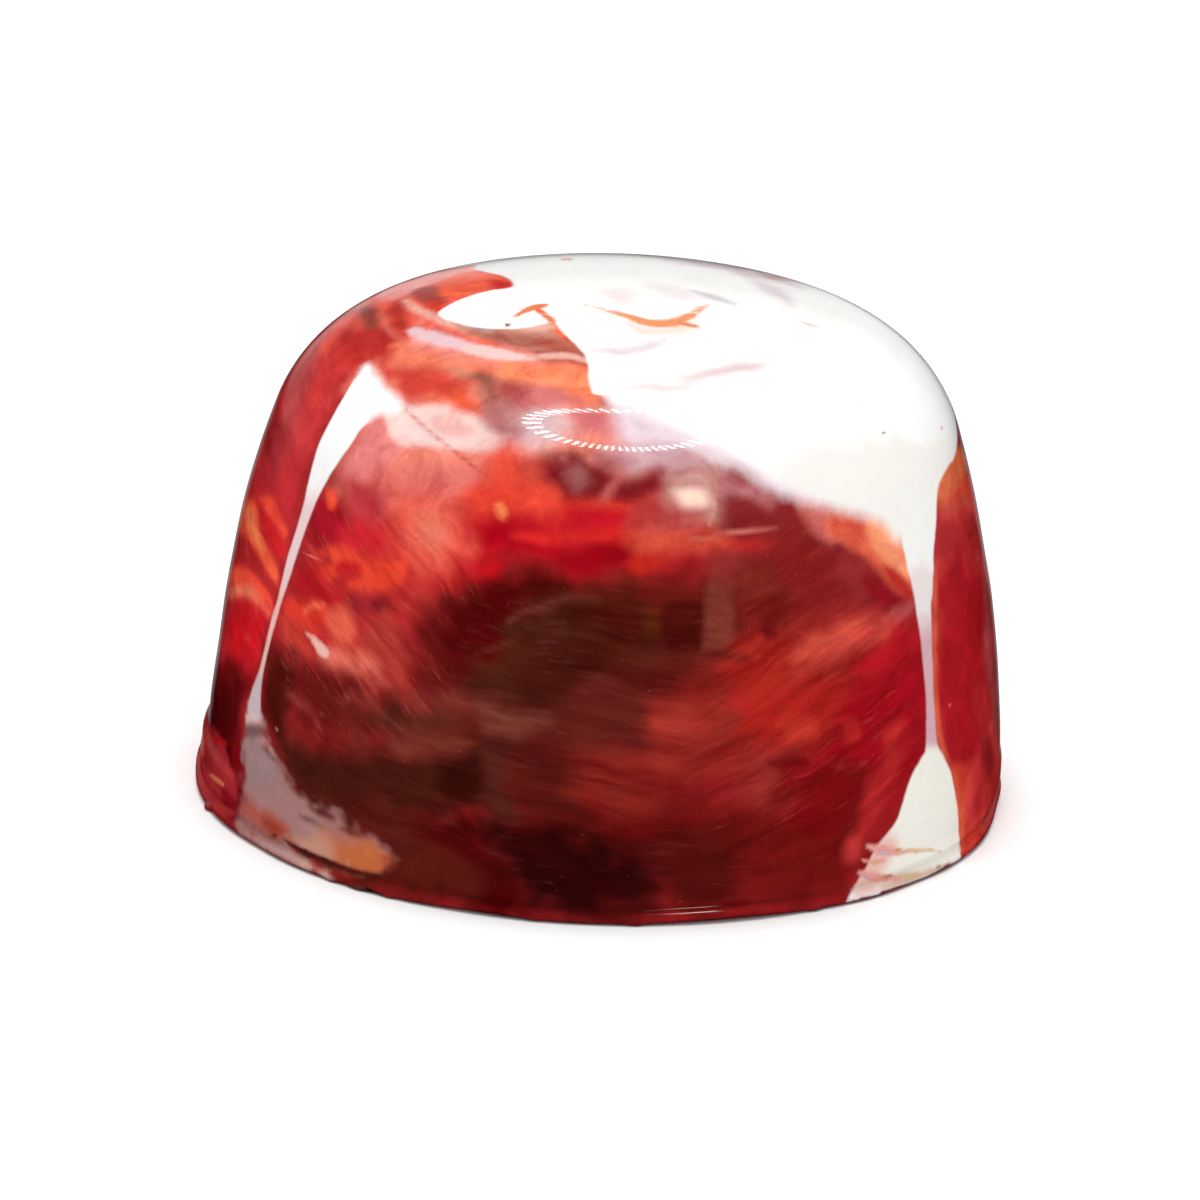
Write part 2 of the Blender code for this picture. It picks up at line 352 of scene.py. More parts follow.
    patch("olive brown, left", (89, 37, 26), 0.61, (384, 714), (430, 712), (440, 730), (410, 740),
        (384, 732)),
    patch("orange brown, left", (120, 47, 35), 0.53, (398, 742), (420, 736), (460, 738), (466, 752),
        (430, 760), (402, 756)),
    patch("pink brown band", (128, 47, 39), 0.61, (396, 690), (440, 694), (486, 700), (480, 714),
        (430, 708), (398, 702)),

    # the dark heart
    patch("orange red, middle left", (221, 16, 26), 0.44, (482, 566), (498, 570), (498, 588), (484, 590),
        (476, 578)),
    patch("dark crimson, middle", (85, 1, 4), 0.61, (470, 600), (500, 582), (530, 572), (570, 580),
        (540, 600), (516, 622), (500, 650), (474, 668), (456, 650)),
    patch("orange blob", (197, 37, 25), 0.19, (626, 562), (640, 557), (662, 560), (654, 572), (636, 576)),
    patch("heart", (78, 28, 15), 0.61, (534, 600), (566, 590), (610, 592), (640, 602), (662, 610),
        (664, 650), (640, 672), (600, 684), (560, 700), (520, 712), (484, 706), (466, 690), (478, 668),
        (498, 650), (512, 622)),
    patch("heart, right", (80, 18, 7), 0.61, (590, 600), (640, 606), (640, 650), (600, 650)),
    patch("heart, deep 1", (70, 20, 5), 0.53, (560, 612), (584, 606), (588, 620), (566, 628)),
    patch("heart, deep 2", (70, 17, 5), 0.53, (540, 656), (600, 650), (620, 668), (580, 690), (530, 694)),
    patch("heart, olive", (89, 34, 10), 0.35, (640, 612), (658, 610), (662, 632), (646, 640)),
    patch("red above the box", (113, 25, 15), 0.53, (630, 588), (680, 580), (712, 590), (704, 604),
        (650, 606)),
    patch("dark box", (78, 11, 6), 0.2, (664, 606), (702, 604), (706, 644), (690, 652), (668, 648)),
    patch("pale column", (131, 56, 43), 0.22, (710, 580), (732, 576), (734, 610), (730, 644), (704, 650),
        (704, 620)),
    patch("pale column, top", (149, 42, 39), 0.53, (708, 560), (736, 556), (734, 578), (710, 580)),
    patch("brown by the column", (127, 38, 29), 0.53, (738, 568), (768, 562), (778, 590), (756, 606),
        (740, 600)),
    stroke("heart's rim 1", (114, 51, 45), 0.16, (2, 5, 6, 3), (508, 622), (524, 612), (546, 606),
        (566, 598)),
    stroke("heart's rim 2", (104, 43, 33), 0.16, (2, 4, 3), (548, 600), (572, 597), (600, 600)),
    stroke("heart's rim 3", (96, 37, 27), 0.16, (2, 5, 3), (474, 654), (496, 648), (520, 636)),
    patch("mauve strands", (101, 28, 22), 0.7, (570, 690), (640, 672), (664, 690), (650, 745), (600, 752),
        (566, 730)),
    patch("pink brown knot", (117, 53, 41), 0.53, (474, 704), (500, 700), (540, 708), (548, 722),
        (520, 736), (490, 740), (474, 728)),
    patch("hairy edge", (83, 31, 22), 0.44, (480, 742), (508, 742), (508, 790), (512, 818), (494, 818),
        (478, 790)),
    patch("red brown, middle", (91, 19, 14), 0.7, (512, 740), (570, 730), (580, 780), (560, 820),
        (516, 812)),

    # the lower part of the front
    patch("olive, left low", (72, 24, 11), 0.53, (396, 768), (436, 768), (436, 796), (400, 800)),
    patch("near black, left low", (56, 8, 3), 0.53, (440, 766), (478, 758), (480, 796), (462, 806),
        (436, 798)),
    patch("crimson low", (80, 0, 3), 0.53, (420, 824), (468, 814), (490, 850), (516, 884), (512, 912),
        (480, 908), (450, 866)),
    patch("brown triangle", (94, 24, 14), 0.44, (396, 850), (446, 846), (476, 878), (470, 894), (420, 892),
        (392, 872)),
    patch("near black", (54, 1, 2), 0.7, (490, 824), (540, 836), (580, 860), (640, 862), (650, 890),
        (590, 906), (540, 892), (504, 862)),
    patch("warm red, middle", (138, 31, 23), 0.7, (576, 766), (620, 752), (656, 764), (650, 800),
        (610, 812), (570, 796)),
    patch("red orange, middle", (147, 37, 28), 0.7, (648, 716), (690, 700), (728, 706), (736, 752),
        (700, 775), (656, 756)),
    # a lighter spot: painted highlight
    patch("hot spot", (173, 50, 39), 0.44, (660, 722), (690, 714), (712, 728), (700, 744), (666, 742)),
    patch("dark red brown, foot", (86, 10, 8), 0.7, (664, 838), (736, 830), (744, 880), (700, 906),
        (660, 880)),
    patch("foot, red brown", (89, 11, 9), 0.44, (600, 898), (650, 894), (662, 912), (640, 920),
        (600, 916)),
    stroke("foot streak", (119, 5, 9), 0.14, (2, 6, 3), (700, 911), (722, 906), (748, 903)),

    # the right half of the front
    patch("dark, right middle", (140, 30, 29), 0.88, (780, 524), (824, 540), (836, 600), (800, 606),
        (776, 560)),
    patch("dusky crimson", (152, 41, 43), 0.7, (832, 556), (868, 562), (880, 596), (844, 604)),
    patch("crimson corner", (147, 5, 24), 0.44, (866, 576), (904, 590), (910, 604), (876, 604)),
    patch("pink by the cap", (214, 110, 100), 0.35, (800, 490), (850, 500), (856, 536), (834, 540),
        (812, 528)),
    patch("orange by the drip", (227, 94, 69), 0.3, (826, 524), (850, 496), (900, 510), (920, 548),
        (926, 594), (904, 594), (888, 578), (866, 558), (844, 544)),
    patch("peach by the drip", (259, 153, 110), 0.26, (868, 520), (900, 520), (912, 560), (908, 580),
        (888, 566), (872, 546)),
    patch("orange red by the drip", (185, 39, 31), 0.22, (884, 566), (904, 576), (916, 600), (908, 600),
        (894, 586)),
    patch("shade by the column", (120, 24, 18), 0.44, (736, 600), (790, 604), (800, 618), (770, 624),
        (740, 620)),
    patch("bright, right upper", (170, 35, 24), 0.7, (744, 642), (790, 640), (806, 664), (800, 690),
        (760, 690), (742, 670)),
    patch("dark notch", (103, 9, 14), 0.2, (760, 628), (772, 626), (776, 636), (766, 640)),
    stroke("dark below the column", (103, 24, 17), 0.2, (6, 9, 5), (706, 650), (728, 656), (748, 656)),
    patch("rust, right", (163, 40, 37), 0.7, (800, 620), (840, 606), (884, 610), (870, 632), (820, 640)),
    stroke("lilac streak", (172, 62, 66), 0.2, (6, 14, 8), (884, 624), (898, 614), (916, 602)),
    patch("salmon, right", (206, 71, 57), 0.53, (800, 640), (840, 632), (880, 622), (890, 636), (860, 656),
        (832, 676), (806, 660)),
    stroke("salmon streak", (225, 76, 63), 0.16, (5, 11, 6), (846, 640), (862, 634), (878, 628)),
    stroke("salmon arc", (189, 68, 57), 0.11, (2, 3, 2), (800, 634), (826, 642), (850, 638)),
    patch("crimson, right", (183, 7, 26), 0.61, (880, 644), (920, 622), (924, 652), (900, 664),
        (866, 676)),
    patch("crimson wedge", (162, 0, 20), 0.53, (884, 668), (924, 655), (927, 705), (890, 712), (856, 712)),
    patch("bright, right middle", (173, 29, 23), 0.61, (744, 690), (800, 680), (846, 696), (836, 716),
        (806, 742), (764, 748), (740, 728)),
    patch("orange, right middle", (193, 49, 37), 0.35, (776, 724), (806, 720), (808, 738), (784, 744)),
    patch("dusky, right low", (144, 38, 32), 0.61, (752, 764), (786, 762), (800, 786), (776, 804),
        (752, 792)),
    patch("dark streak, right", (115, 2, 6), 0.2, (768, 762), (800, 758), (808, 764), (780, 770)),
    patch("dark crimson, right low", (121, 3, 10), 0.79, (796, 770), (840, 760), (866, 780), (850, 826),
        (800, 836), (784, 810)),
    patch("crimson low right", (116, 12, 13), 0.7, (744, 846), (800, 840), (850, 850), (840, 892),
        (760, 895)),
    patch("bright edge, right low", (183, 34, 35), 0.44, (892, 722), (906, 724), (900, 760), (886, 800),
        (872, 838), (862, 840), (866, 800), (882, 760)),
    patch("spot, right low", (195, 38, 35), 0.2, (844, 722), (858, 722), (858, 738), (846, 740)),
    patch("warm foot, right", (196, 54, 50), 0.35, (850, 840), (862, 838), (864, 860), (850, 862)),

    # the strip right of the drip
    patch("strip, dark", (181, 34, 36), 0.53, (940, 524), (976, 520), (984, 560), (940, 564)),
    patch("strip, crimson", (175, 14, 26), 0.7, (938, 580), (986, 580), (992, 700), (972, 770),
        (944, 748)),
    patch("strip, right edge", (179, 64, 66), 0.53, (984, 560), (1000, 600), (1006, 720), (994, 730),
        (988, 680)),
    patch("strip, warm", (221, 64, 49), 0.44, (954, 480), (976, 474), (982, 500), (960, 510), (942, 514),
        (944, 504)),
    patch("strip, orange", (232, 112, 66), 0.3, (938, 450), (956, 444), (966, 462), (956, 490),
        (940, 506), (934, 482)),
    stroke("strip, pale", (192, 72, 56), 0.35, (5, 8, 5), (940, 512), (956, 508), (968, 500)),
    patch("strip, rosy", (185, 33, 37), 0.44, (976, 690), (988, 690), (990, 724), (978, 722)),
    patch("by the puddle, orange", (216, 62, 46), 0.3, (950, 762), (974, 776), (972, 786), (966, 800),
        (962, 818), (955, 806)),
    patch("by the puddle, low", (215, 56, 40), 0.22, (962, 826), (980, 822), (980, 836), (962, 858),
        (954, 850)),
    patch("low right, dusky", (193, 39, 40), 0.44, (976, 760), (992, 750), (1002, 790), (984, 816),
        (972, 812)),
    patch("low right, brown", (165, 30, 37), 0.4, (980, 738), (990, 742), (992, 774), (982, 778)),

    stroke("right drip's rim", (214, 84, 60), 0.10, (2, 6, 6, 6, 6, 4), (936, 560), (934, 620), (934, 660),
        (936, 710), (941, 744), (950, 764)),
    stroke("right drip's rim, low", (222, 88, 58), 0.14, (5, 8, 8, 7), (952, 768), (959, 796), (961, 824),
        (960, 850)),

    # the swirls at the top left
    patch("top left field", (277, 108, 82), 0.88, (350, 320), (400, 280), (470, 262), (520, 290),
        (450, 310), (410, 330), (370, 350)),
    # pale rim along the crown's top left edge: painted sheen, the edge mirroring the pale studio behind
    patch("pale crown rim, painted sheen", (278, 172, 164), 0.53, (372, 292), (420, 268), (470, 258), (500, 258),
        (480, 270), (430, 284), (392, 300)),
    patch("dark red, top left", (204, 44, 38), 0.61, (340, 336), (380, 326), (404, 332), (396, 356),
        (360, 362), (330, 366)),
    patch("olive blob", (166, 66, 52), 0.26, (358, 312), (368, 306), (380, 310), (380, 324), (366, 330)),
    patch("brown blob", (202, 41, 24), 0.39, (386, 308), (402, 302), (410, 312), (404, 328), (390, 326)),
    patch("brown spot", (189, 67, 61), 0.2, (412, 292), (428, 286), (446, 290), (446, 303), (430, 306),
        (418, 303)),
    patch("orange by the spot", (244, 60, 26), 0.22, (424, 304), (440, 302), (442, 314), (432, 318)),
    patch("tongue", (279, 107, 67), 0.22, (452, 300), (472, 292), (488, 288), (510, 287), (514, 284),
        (503, 277), (490, 273), (466, 272), (446, 280), (440, 294)),
    patch("tongue's tip", (240, 31, 23), 0.19, (488, 280), (502, 280), (511, 285), (496, 290)),
    stroke("pale stripe", (272, 206, 187), 0.22, (4, 7, 8, 7, 4), (404, 300), (418, 310), (440, 320),
        (464, 328), (486, 336)),
    stroke("stripe below the lobe", (249, 116, 103), 0.35, (6, 12, 10), (416, 326), (446, 334),
        (478, 342)),
    stroke("pale arc", (237, 117, 101), 0.19, (2, 4, 4, 2), (380, 314), (386, 326), (396, 336),
        (408, 342)),
    patch("claw's body", (266, 110, 56), 0.19, (546, 318), (556, 320), (568, 337), (580, 354), (566, 350),
        (556, 340), (548, 330)),
    patch("brown band", (217, 140, 123), 0.24, (446, 316), (470, 320), (505, 327), (536, 327), (556, 334),
        (576, 350), (588, 362), (566, 354), (536, 350), (500, 343), (474, 336), (456, 326)),
    stroke("brown band, middle", (189, 108, 89), 0.3, (4, 9, 12, 12, 6), (474, 330), (502, 337),
        (536, 342), (562, 346), (582, 354)),
    stroke("brown band, grey", (209, 163, 157), 0.2, (3, 8, 4), (454, 318), (474, 324), (494, 331)),
    stroke("brown band, red end", (196, 84, 70), 0.3, (4, 8, 8, 5), (536, 341), (550, 344), (566, 350),
        (580, 356)),
    patch("under the claw", (254, 184, 164), 0.2, (496, 318), (520, 318), (546, 318), (556, 326),
        (548, 332), (524, 330), (504, 326)),
    patch("orange below the wisp", (264, 135, 102), 0.44, (395, 342), (432, 356), (480, 366), (540, 366),
        (590, 366), (600, 400), (560, 398), (500, 384), (440, 374), (398, 362)),
    patch("orange, bright", (266, 147, 102), 0.44, (500, 372), (560, 368), (590, 376), (596, 400),
        (560, 392), (510, 384)),
    patch("red left middle", (228, 73, 60), 0.53, (380, 356), (410, 366), (450, 374), (468, 390),
        (440, 400), (408, 396), (384, 380)),
    patch("orange, low", (237, 86, 53), 0.44, (436, 396), (466, 392), (492, 408), (484, 414), (450, 406)),
    stroke("taupe streak", (207, 130, 110), 0.22, (3, 7, 3), (446, 368), (466, 374), (480, 378)),
    patch("olive blob, lower", (167, 97, 81), 0.35, (474, 374), (492, 376), (500, 388), (496, 402),
        (482, 396)),
    patch("brown by the blob", (180, 73, 70), 0.44, (494, 382), (520, 386), (526, 404), (504, 410),
        (494, 396)),
    patch("grey mauve by the blob", (194, 119, 120), 0.44, (488, 402), (520, 408), (524, 430), (504, 430),
        (488, 416)),
    stroke("blob's streak", (192, 116, 102), 0.16, (2, 6, 2), (480, 396), (488, 404), (500, 418)),
    patch("dusky pink", (223, 116, 115), 0.44, (520, 388), (556, 392), (580, 404), (540, 408), (520, 404)),
)

# Thinner marks with clearer edges, over the ground, some of them painted highlights and a painted glint.
MARKS = (
    patch("wisp", (259, 216, 220), 0.2, (407, 333), (412, 328), (424, 328), (440, 333), (462, 340),
        (486, 347), (502, 353), (486, 354), (462, 351), (440, 346), (420, 340), ragged=0.12),
    stroke("wisp, strands", (262, 222, 215), 0.16, (8, 12, 9, 4), (458, 346), (486, 352), (510, 356),
        (536, 358)),
    stroke("wisp, thin end", (257, 192, 174), 0.14, (3, 6, 6, 4), (520, 357), (548, 356), (570, 356),
        (590, 362)),
    stroke("white wisp, wall", (244, 186, 176), 0.10, (2, 5, 9, 10, 5), (305, 632), (312, 638), (319, 646),
        (324, 652), (328, 657)),
    stroke("edge by the dusky patch", (210, 132, 116), 0.09, (2, 4, 3), (711, 474), (716, 498), (709, 526)),
    # pale lines where the shoulder catches the light: painted highlight
    stroke("crease", (232, 150, 142), 0.09, (2, 3.5, 3), (405, 409), (428, 430), (450, 448)),
    stroke("crease, long", (204, 84, 76), 0.09, (2, 3, 2), (450, 448), (478, 470), (500, 488)),
    stroke("scratch, wall", (237, 108, 102), 0.05, (1, 2, 1), (286, 549), (310, 556), (338, 565)),
    stroke("orange spot", (257, 138, 82), 0.24, (6, 11, 5), (499, 504), (502, 511), (504, 518)),
    stroke("speck 1", (254, 140, 110), 0.06, 4, (331, 499), (332, 500)),
    # a pale dot painted as a glint of light
    stroke("glint 2, painted", (252, 150, 120), 0.06, 4, (413, 505), (414, 506)),
    stroke("lip streak 1", (192, 9, 8), 0.08, (3, 6, 3), (214, 736), (220, 741), (228, 744)),
    stroke("lip streak 2", (249, 68, 57), 0.08, (2, 4, 2), (202, 733), (203, 745), (203, 757)),
    stroke("lip streak 3", (194, 29, 24), 0.08, (2, 5, 2), (226, 766), (230, 772), (233, 780)),
    stroke("ochre slot", (217, 124, 84), 0.08, (2, 5, 2), (210, 774), (217, 780), (224, 786)),
    stroke("lip streak 4", (177, 43, 41), 0.1, (3, 8, 4), (214, 802), (224, 810), (236, 814)),
)

# The white chocolate: the cap over the top right, its drips, and the lobe and puddles.
WHITES = (
    patch("cap", WHITE, 0.10, (576, 345), (584, 354), (588, 363), (589, 372), (590, 382), (592, 391),
        (601, 395), (650, 382), (740, 392), (800, 420), (850, 454), (892, 500), (903, 547), (913, 589),
        (919, 626), (926, 626), (932, 597), (933, 560), (936, 523), (938, 488), (946, 470), (955, 455),
        (956, 433), (948, 404), (932, 372), (905, 335), (868, 306), (812, 284), (760, 268), (700, 258),
        (640, 252), (560, 250), (500, 258), (474, 268), (503, 276), (514, 284), (509, 288), (487, 291),
        (457, 301), (439, 312), (442, 318), (460, 324), (482, 328), (506, 329), (523, 328), (540, 325),
        (553, 322), (559, 328), (568, 338)),
    patch("cap, soft edge", WHITE, 0.40, (598, 384), (612, 402), (640, 424), (680, 440), (716, 458),
        (744, 470), (766, 486), (800, 500), (840, 511), (880, 522), (898, 540), (914, 510), (860, 440),
        (760, 390), (660, 372), (606, 372), ragged=0.08),
    patch("right drip", WHITE, 0.09, (907, 560), (913, 589), (919, 626), (923, 663), (926, 699),
        (926, 746), (922, 757), (912, 775), (905, 795), (898, 818), (890, 830), (880, 842), (872, 855),
        (866, 868), (858, 880), (850, 894), (848, 904), (872, 904), (890, 901), (906, 896), (922, 891),
        (942, 883), (960, 870), (960, 850), (959, 836), (957, 806), (951, 774), (943, 755), (937, 742),
        (934, 699), (932, 648), (931, 597), (933, 560), (920, 530)),
    patch("left drip", WHITE, 0.08, (370, 366), (365, 368), (358, 376), (348, 390), (332, 418), (318, 447),
        (309, 480), (302, 511), (287, 560), (278, 597), (270, 625), (260, 667), (252, 690), (248, 712),
        (254, 722), (260, 712), (261, 690), (265, 664), (275, 624), (284, 595), (295, 560), (302, 539),
        (316, 502), (330, 475), (342, 457), (352, 443), (360, 430), (370, 419), (374, 404), (372, 384)),
    patch("left drip, soft shoulder", WHITE, 0.32, (366, 364), (376, 374), (386, 388), (400, 400),
        (398, 412), (380, 414), (366, 420), (356, 400), (358, 378), ragged=0.05),
    patch("lilac puddle", (165, 114, 110), 0.26, (245, 714), (257, 714), (262, 728), (270, 744),
        (280, 762), (290, 778), (298, 792), (312, 801), (328, 810), (342, 822), (358, 831), (378, 843),
        (396, 859), (382, 871), (360, 870), (338, 866), (318, 858), (304, 852), (289, 844), (296, 856),
        (314, 868), (328, 880), (306, 882), (284, 876), (262, 862), (238, 844), (236, 822), (241, 800),
        (244, 780), (244, 760), ragged=0.34),
)

# Colours on the white.
TINTS = (
    patch("cap, lower cream", (256, 252, 246), 1.0, (780, 440), (960, 440), (940, 560), (880, 540),
        (780, 500)),
    patch("below the arc", (266, 250, 238), 0.3, (620, 316), (650, 326), (690, 322), (706, 326),
        (680, 334), (640, 334)),
    patch("cap's soft edge", (254, 239, 245), 0.3, (600, 406), (640, 430), (680, 444), (716, 462),
        (744, 474), (766, 492), (800, 508), (826, 514), (830, 504), (800, 492), (772, 474), (744, 456),
        (716, 444), (680, 426), (640, 408)),
    patch("blush 1", (270, 262, 258), 0.5, (606, 290), (630, 292), (640, 306), (620, 304)),
    patch("blush 2", (274, 266, 264), 0.6, (650, 284), (676, 288), (690, 300), (656, 300)),
    patch("stain at the top", (249, 221, 227), 0.8, (640, 252), (690, 258), (740, 264), (784, 274),
        (796, 286), (782, 284), (752, 279), (716, 270), (680, 264)),
    stroke("stain's tail", (256, 244, 248), 0.5, (3, 10, 3), (752, 282), (776, 292), (796, 306)),
    patch("stain, red", (226, 160, 162), 0.35, (762, 272), (782, 272), (788, 280), (768, 280)),
    stroke("mauve streak", (246, 231, 238), 0.45, (3, 9, 9, 3), (590, 352), (622, 353), (648, 346),
        (672, 340)),
    stroke("pink smear", (248, 220, 222), 0.45, (2, 9, 13, 11, 3), (680, 378), (706, 374), (730, 371),
        (752, 366), (774, 362)),
    stroke("pink smear, low", (253, 237, 237), 0.5, (3, 12, 3), (620, 392), (660, 388), (702, 384)),
    stroke("grey mauve streak", (240, 234, 240), 0.3, (2, 5, 2), (690, 291), (712, 297), (732, 303)),
    patch("right drip, cream", (241, 230, 230), 0.5, (890, 570), (950, 570), (950, 650), (890, 650)),
    patch("right drip, lilac", (217, 174, 182), 0.6, (890, 640), (960, 640), (960, 744), (890, 744)),
    patch("right puddle", (250, 245, 235), 0.25, (900, 752), (960, 752), (980, 800), (980, 870),
        (860, 900), (850, 850), (890, 800)),
    patch("right puddle, left edge", (241, 194, 185), 0.35, (874, 838), (890, 836), (896, 850), (888, 862),
        (882, 878), (880, 892), (852, 896), (856, 870), (868, 850)),
    stroke("right puddle, low edge", (216, 182, 158), 0.16, (4, 8, 6, 3), (880, 888), (904, 880),
        (928, 872), (950, 862)),
    patch("left drip, low", (242, 212, 212), 1.0, (270, 505), (350, 505), (330, 600), (330, 720),
        (200, 720), (240, 600)),
    patch("left drip, lower", (243, 192, 181), 0.9, (230, 600), (320, 600), (320, 720), (200, 720)),
    patch("left drip, lowest", (208, 186, 190), 0.4, (230, 672), (300, 672), (290, 714), (220, 714)),
    patch("puddle, upper", (159, 126, 127), 0.45, (236, 742), (262, 742), (280, 770), (276, 790),
        (262, 790), (242, 784)),
    patch("puddle, rosy", (168, 121, 119), 0.35, (250, 792), (296, 786), (330, 812), (310, 836),
        (280, 822)),
    patch("puddle, left edge", (150, 62, 68), 0.25, (236, 776), (243, 790), (247, 806), (241, 818),
        (232, 812)),
    stroke("puddle, drawn brown 1", (92, 48, 42), 0.12, (1, 4, 5, 2), (262, 731), (272, 744), (284, 758),
        (292, 770)),
    stroke("puddle, drawn brown 2", (112, 66, 60), 0.12, (1, 4, 1), (258, 741), (268, 752), (278, 764)),
    patch("puddle's break", (124, 90, 90), 0.16, (236, 724), (262, 724), (270, 736), (240, 738)),
    stroke("puddle, brown 1", (100, 42, 32), 0.16, (3, 9, 4), (308, 806), (320, 812), (334, 819)),
    stroke("puddle, brown 3", (112, 62, 54), 0.16, (2, 6, 2), (284, 774), (294, 788), (304, 798)),
    stroke("puddle, brown 4", (120, 74, 68), 0.14, (2, 5, 2), (300, 816), (312, 821), (324, 829)),
    stroke("puddle, brown 2", (112, 41, 25), 0.14, (3, 8, 3), (341, 828), (352, 833), (362, 838)),
    patch("puddle, orange red", (176, 88, 74), 0.22, (243, 802), (258, 806), (276, 815), (290, 828),
        (290, 840), (276, 840), (258, 830), (244, 816)),
    patch("puddle, orange red, deep", (160, 56, 38), 0.2, (262, 818), (276, 822), (284, 834), (270, 833)),
    patch("amber", (198, 106, 62), 0.5, (322, 836), (348, 834), (374, 842), (394, 856), (402, 866),
        (376, 878), (336, 874)),
    patch("amber, peach", (200, 144, 122), 0.5, (288, 834), (310, 830), (328, 836), (330, 858), (314, 862),
        (294, 850)),
    patch("amber, bright", (200, 106, 56), 0.4, (352, 848), (374, 846), (386, 856), (370, 868)),
    patch("amber, end", (164, 66, 38), 0.3, (382, 854), (394, 856), (404, 868), (388, 872)),
    patch("rim below the groove", (194, 151, 147), 0.2, (236, 836), (280, 848), (306, 860), (330, 882),
        (290, 884), (240, 856)),
    patch("rim's peach end", (214, 164, 146), 0.14, (302, 862), (330, 874), (330, 882), (302, 876)),
)

# Small bits over everything, most of them near the foot, with a painted glint and a painted groove shadow
# among them.
BITS = (
    stroke("claw's tip", (262, 142, 92), 0.1, (2, 5, 5, 2), (514, 317), (524, 311), (536, 307),
        (548, 305)),
    stroke("claw's root", (258, 122, 72), 0.12, (3, 7, 4), (534, 308), (545, 315), (555, 323)),
    stroke("orange arc", (264, 168, 114), 0.14, (1.5, 4, 8, 9, 7, 2), (584, 304), (620, 314), (650, 323),
        (676, 322), (694, 314), (708, 304)),
    stroke("arc's fork", (250, 150, 108), 0.1, (3, 4, 2), (676, 322), (690, 325), (700, 327)),
    stroke("orange scratch", (272, 240, 222), 0.06, (1.5, 2.5, 1.5), (801, 322), (810, 325), (819, 327)),
    stroke("top trace", (261, 202, 176), 0.08, (2, 3, 2), (561, 260), (567, 259), (573, 260)),
    stroke("lobe's speck", (150, 90, 70), 0.08, 5, (505, 325), (510, 326)),
    # brighter than the white around it: a painted glint
    stroke("puddle glint, painted", (292, 292, 290), 0.05, 9, (916, 804), (919, 806)),
    stroke("fleck 1", (190, 130, 90), 0.05, 4, (883, 432), (884, 434)),
    stroke("fleck 2", (240, 190, 170), 0.05, 3, (857, 402), (858, 403)),
    stroke("fleck 3", (240, 170, 170), 0.05, 4, (941, 427), (942, 429)),
    stroke("fleck 4", (244, 200, 190), 0.05, 4, (704, 339), (706, 340)),
    stroke("fleck 5", (244, 200, 190), 0.05, 4, (755, 352), (757, 352)),
    stroke("fleck 6", (244, 206, 196), 0.05, 3, (805, 356), (806, 357)),
    stroke("fleck 7", (244, 200, 196), 0.05, 4, (685, 381), (687, 381)),
    stroke("rim crack", (246, 240, 231), 0.06, (1, 2.5, 1), (906, 838), (925, 823), (952, 811)),
    stroke("crumb band 1", (236, 164, 152), 0.1, (4, 10, 8, 3), (866, 846), (880, 850), (894, 852),
        (908, 851)),
    stroke("crumb band 1, blue", (186, 184, 206), 0.06, (2, 5, 3), (873, 851), (884, 853), (893, 853)),
    stroke("crumb band 1, orange", (206, 130, 84), 0.05, (2, 5, 2), (891, 853), (897, 851), (902, 849)),
    stroke("crumb band 1, ochre", (228, 194, 156), 0.07, (2, 4, 3, 2), (902, 850), (914, 851), (926, 850),
        (942, 852)),
    stroke("crumb line", (232, 166, 148), 0.08, (2, 5, 2), (862, 860), (873, 862), (886, 860)),
    stroke("crumb band 2", (232, 160, 148), 0.1, (4, 10, 9, 4), (858, 872), (872, 877), (886, 879),
        (902, 878)),
    stroke("crumb band 2, blue", (170, 164, 188), 0.06, (2, 5, 2), (862, 877), (873, 878), (881, 878)),
    stroke("crumb band 2, orange", (206, 134, 80), 0.05, (2, 5, 2), (882, 878), (888, 877), (893, 875)),
    stroke("crumb band 2, ochre", (221, 184, 142), 0.07, (2, 4, 2), (898, 877), (910, 876), (924, 874)),
    stroke("notch", (141, 148, 137), 0.06, (2, 4, 2), (935, 868), (938, 867), (941, 866)),
    # dark line along the groove above the rim: painted shadow
    stroke("painted groove shadow", (86, 24, 20), 0.10, (1, 6, 8, 7, 3), (282, 838), (300, 850), (320, 860), (346, 870),
        (376, 877)),
    stroke("grey bit 1", (63, 55, 49), 0.06, (3, 8, 4), (344, 885), (356, 889), (366, 891)),
    stroke("grey bit 2", (48, 10, 6), 0.06, (3, 6, 3), (366, 888), (374, 894), (380, 896)),
    stroke("grey crumb", (120, 84, 76), 0.05, 4, (206, 804), (210, 806)),
    stroke("dark dot", (73, 25, 11), 0.08, 6, (272, 835), (276, 837)),
    stroke("pale spark", (150, 96, 84), 0.05, 4, (275, 728), (278, 730)),
    stroke("spark, right strip", (214, 110, 90), 0.05, 3, (949, 704), (951, 706)),
)

# More of the guess at the far side: a flank, and a white sheet with drips, tints and crumbs. These points
# are a direction round the axis in degrees and the way down from the crown's middle in mm; the widths are
# in mm too.
BACK_GROUND = (
    patch("right flank", (150, 22, 30), 1.0, (-4, 12), (14, 11), (26, 13), (30, 20), (26, 29), (-2, 29),
        (-8, 20)),
    patch("right flank, rust", (186, 52, 40), 0.8, (2, 15), (14, 14.5), (18, 18), (8, 21), (0, 18)),
)

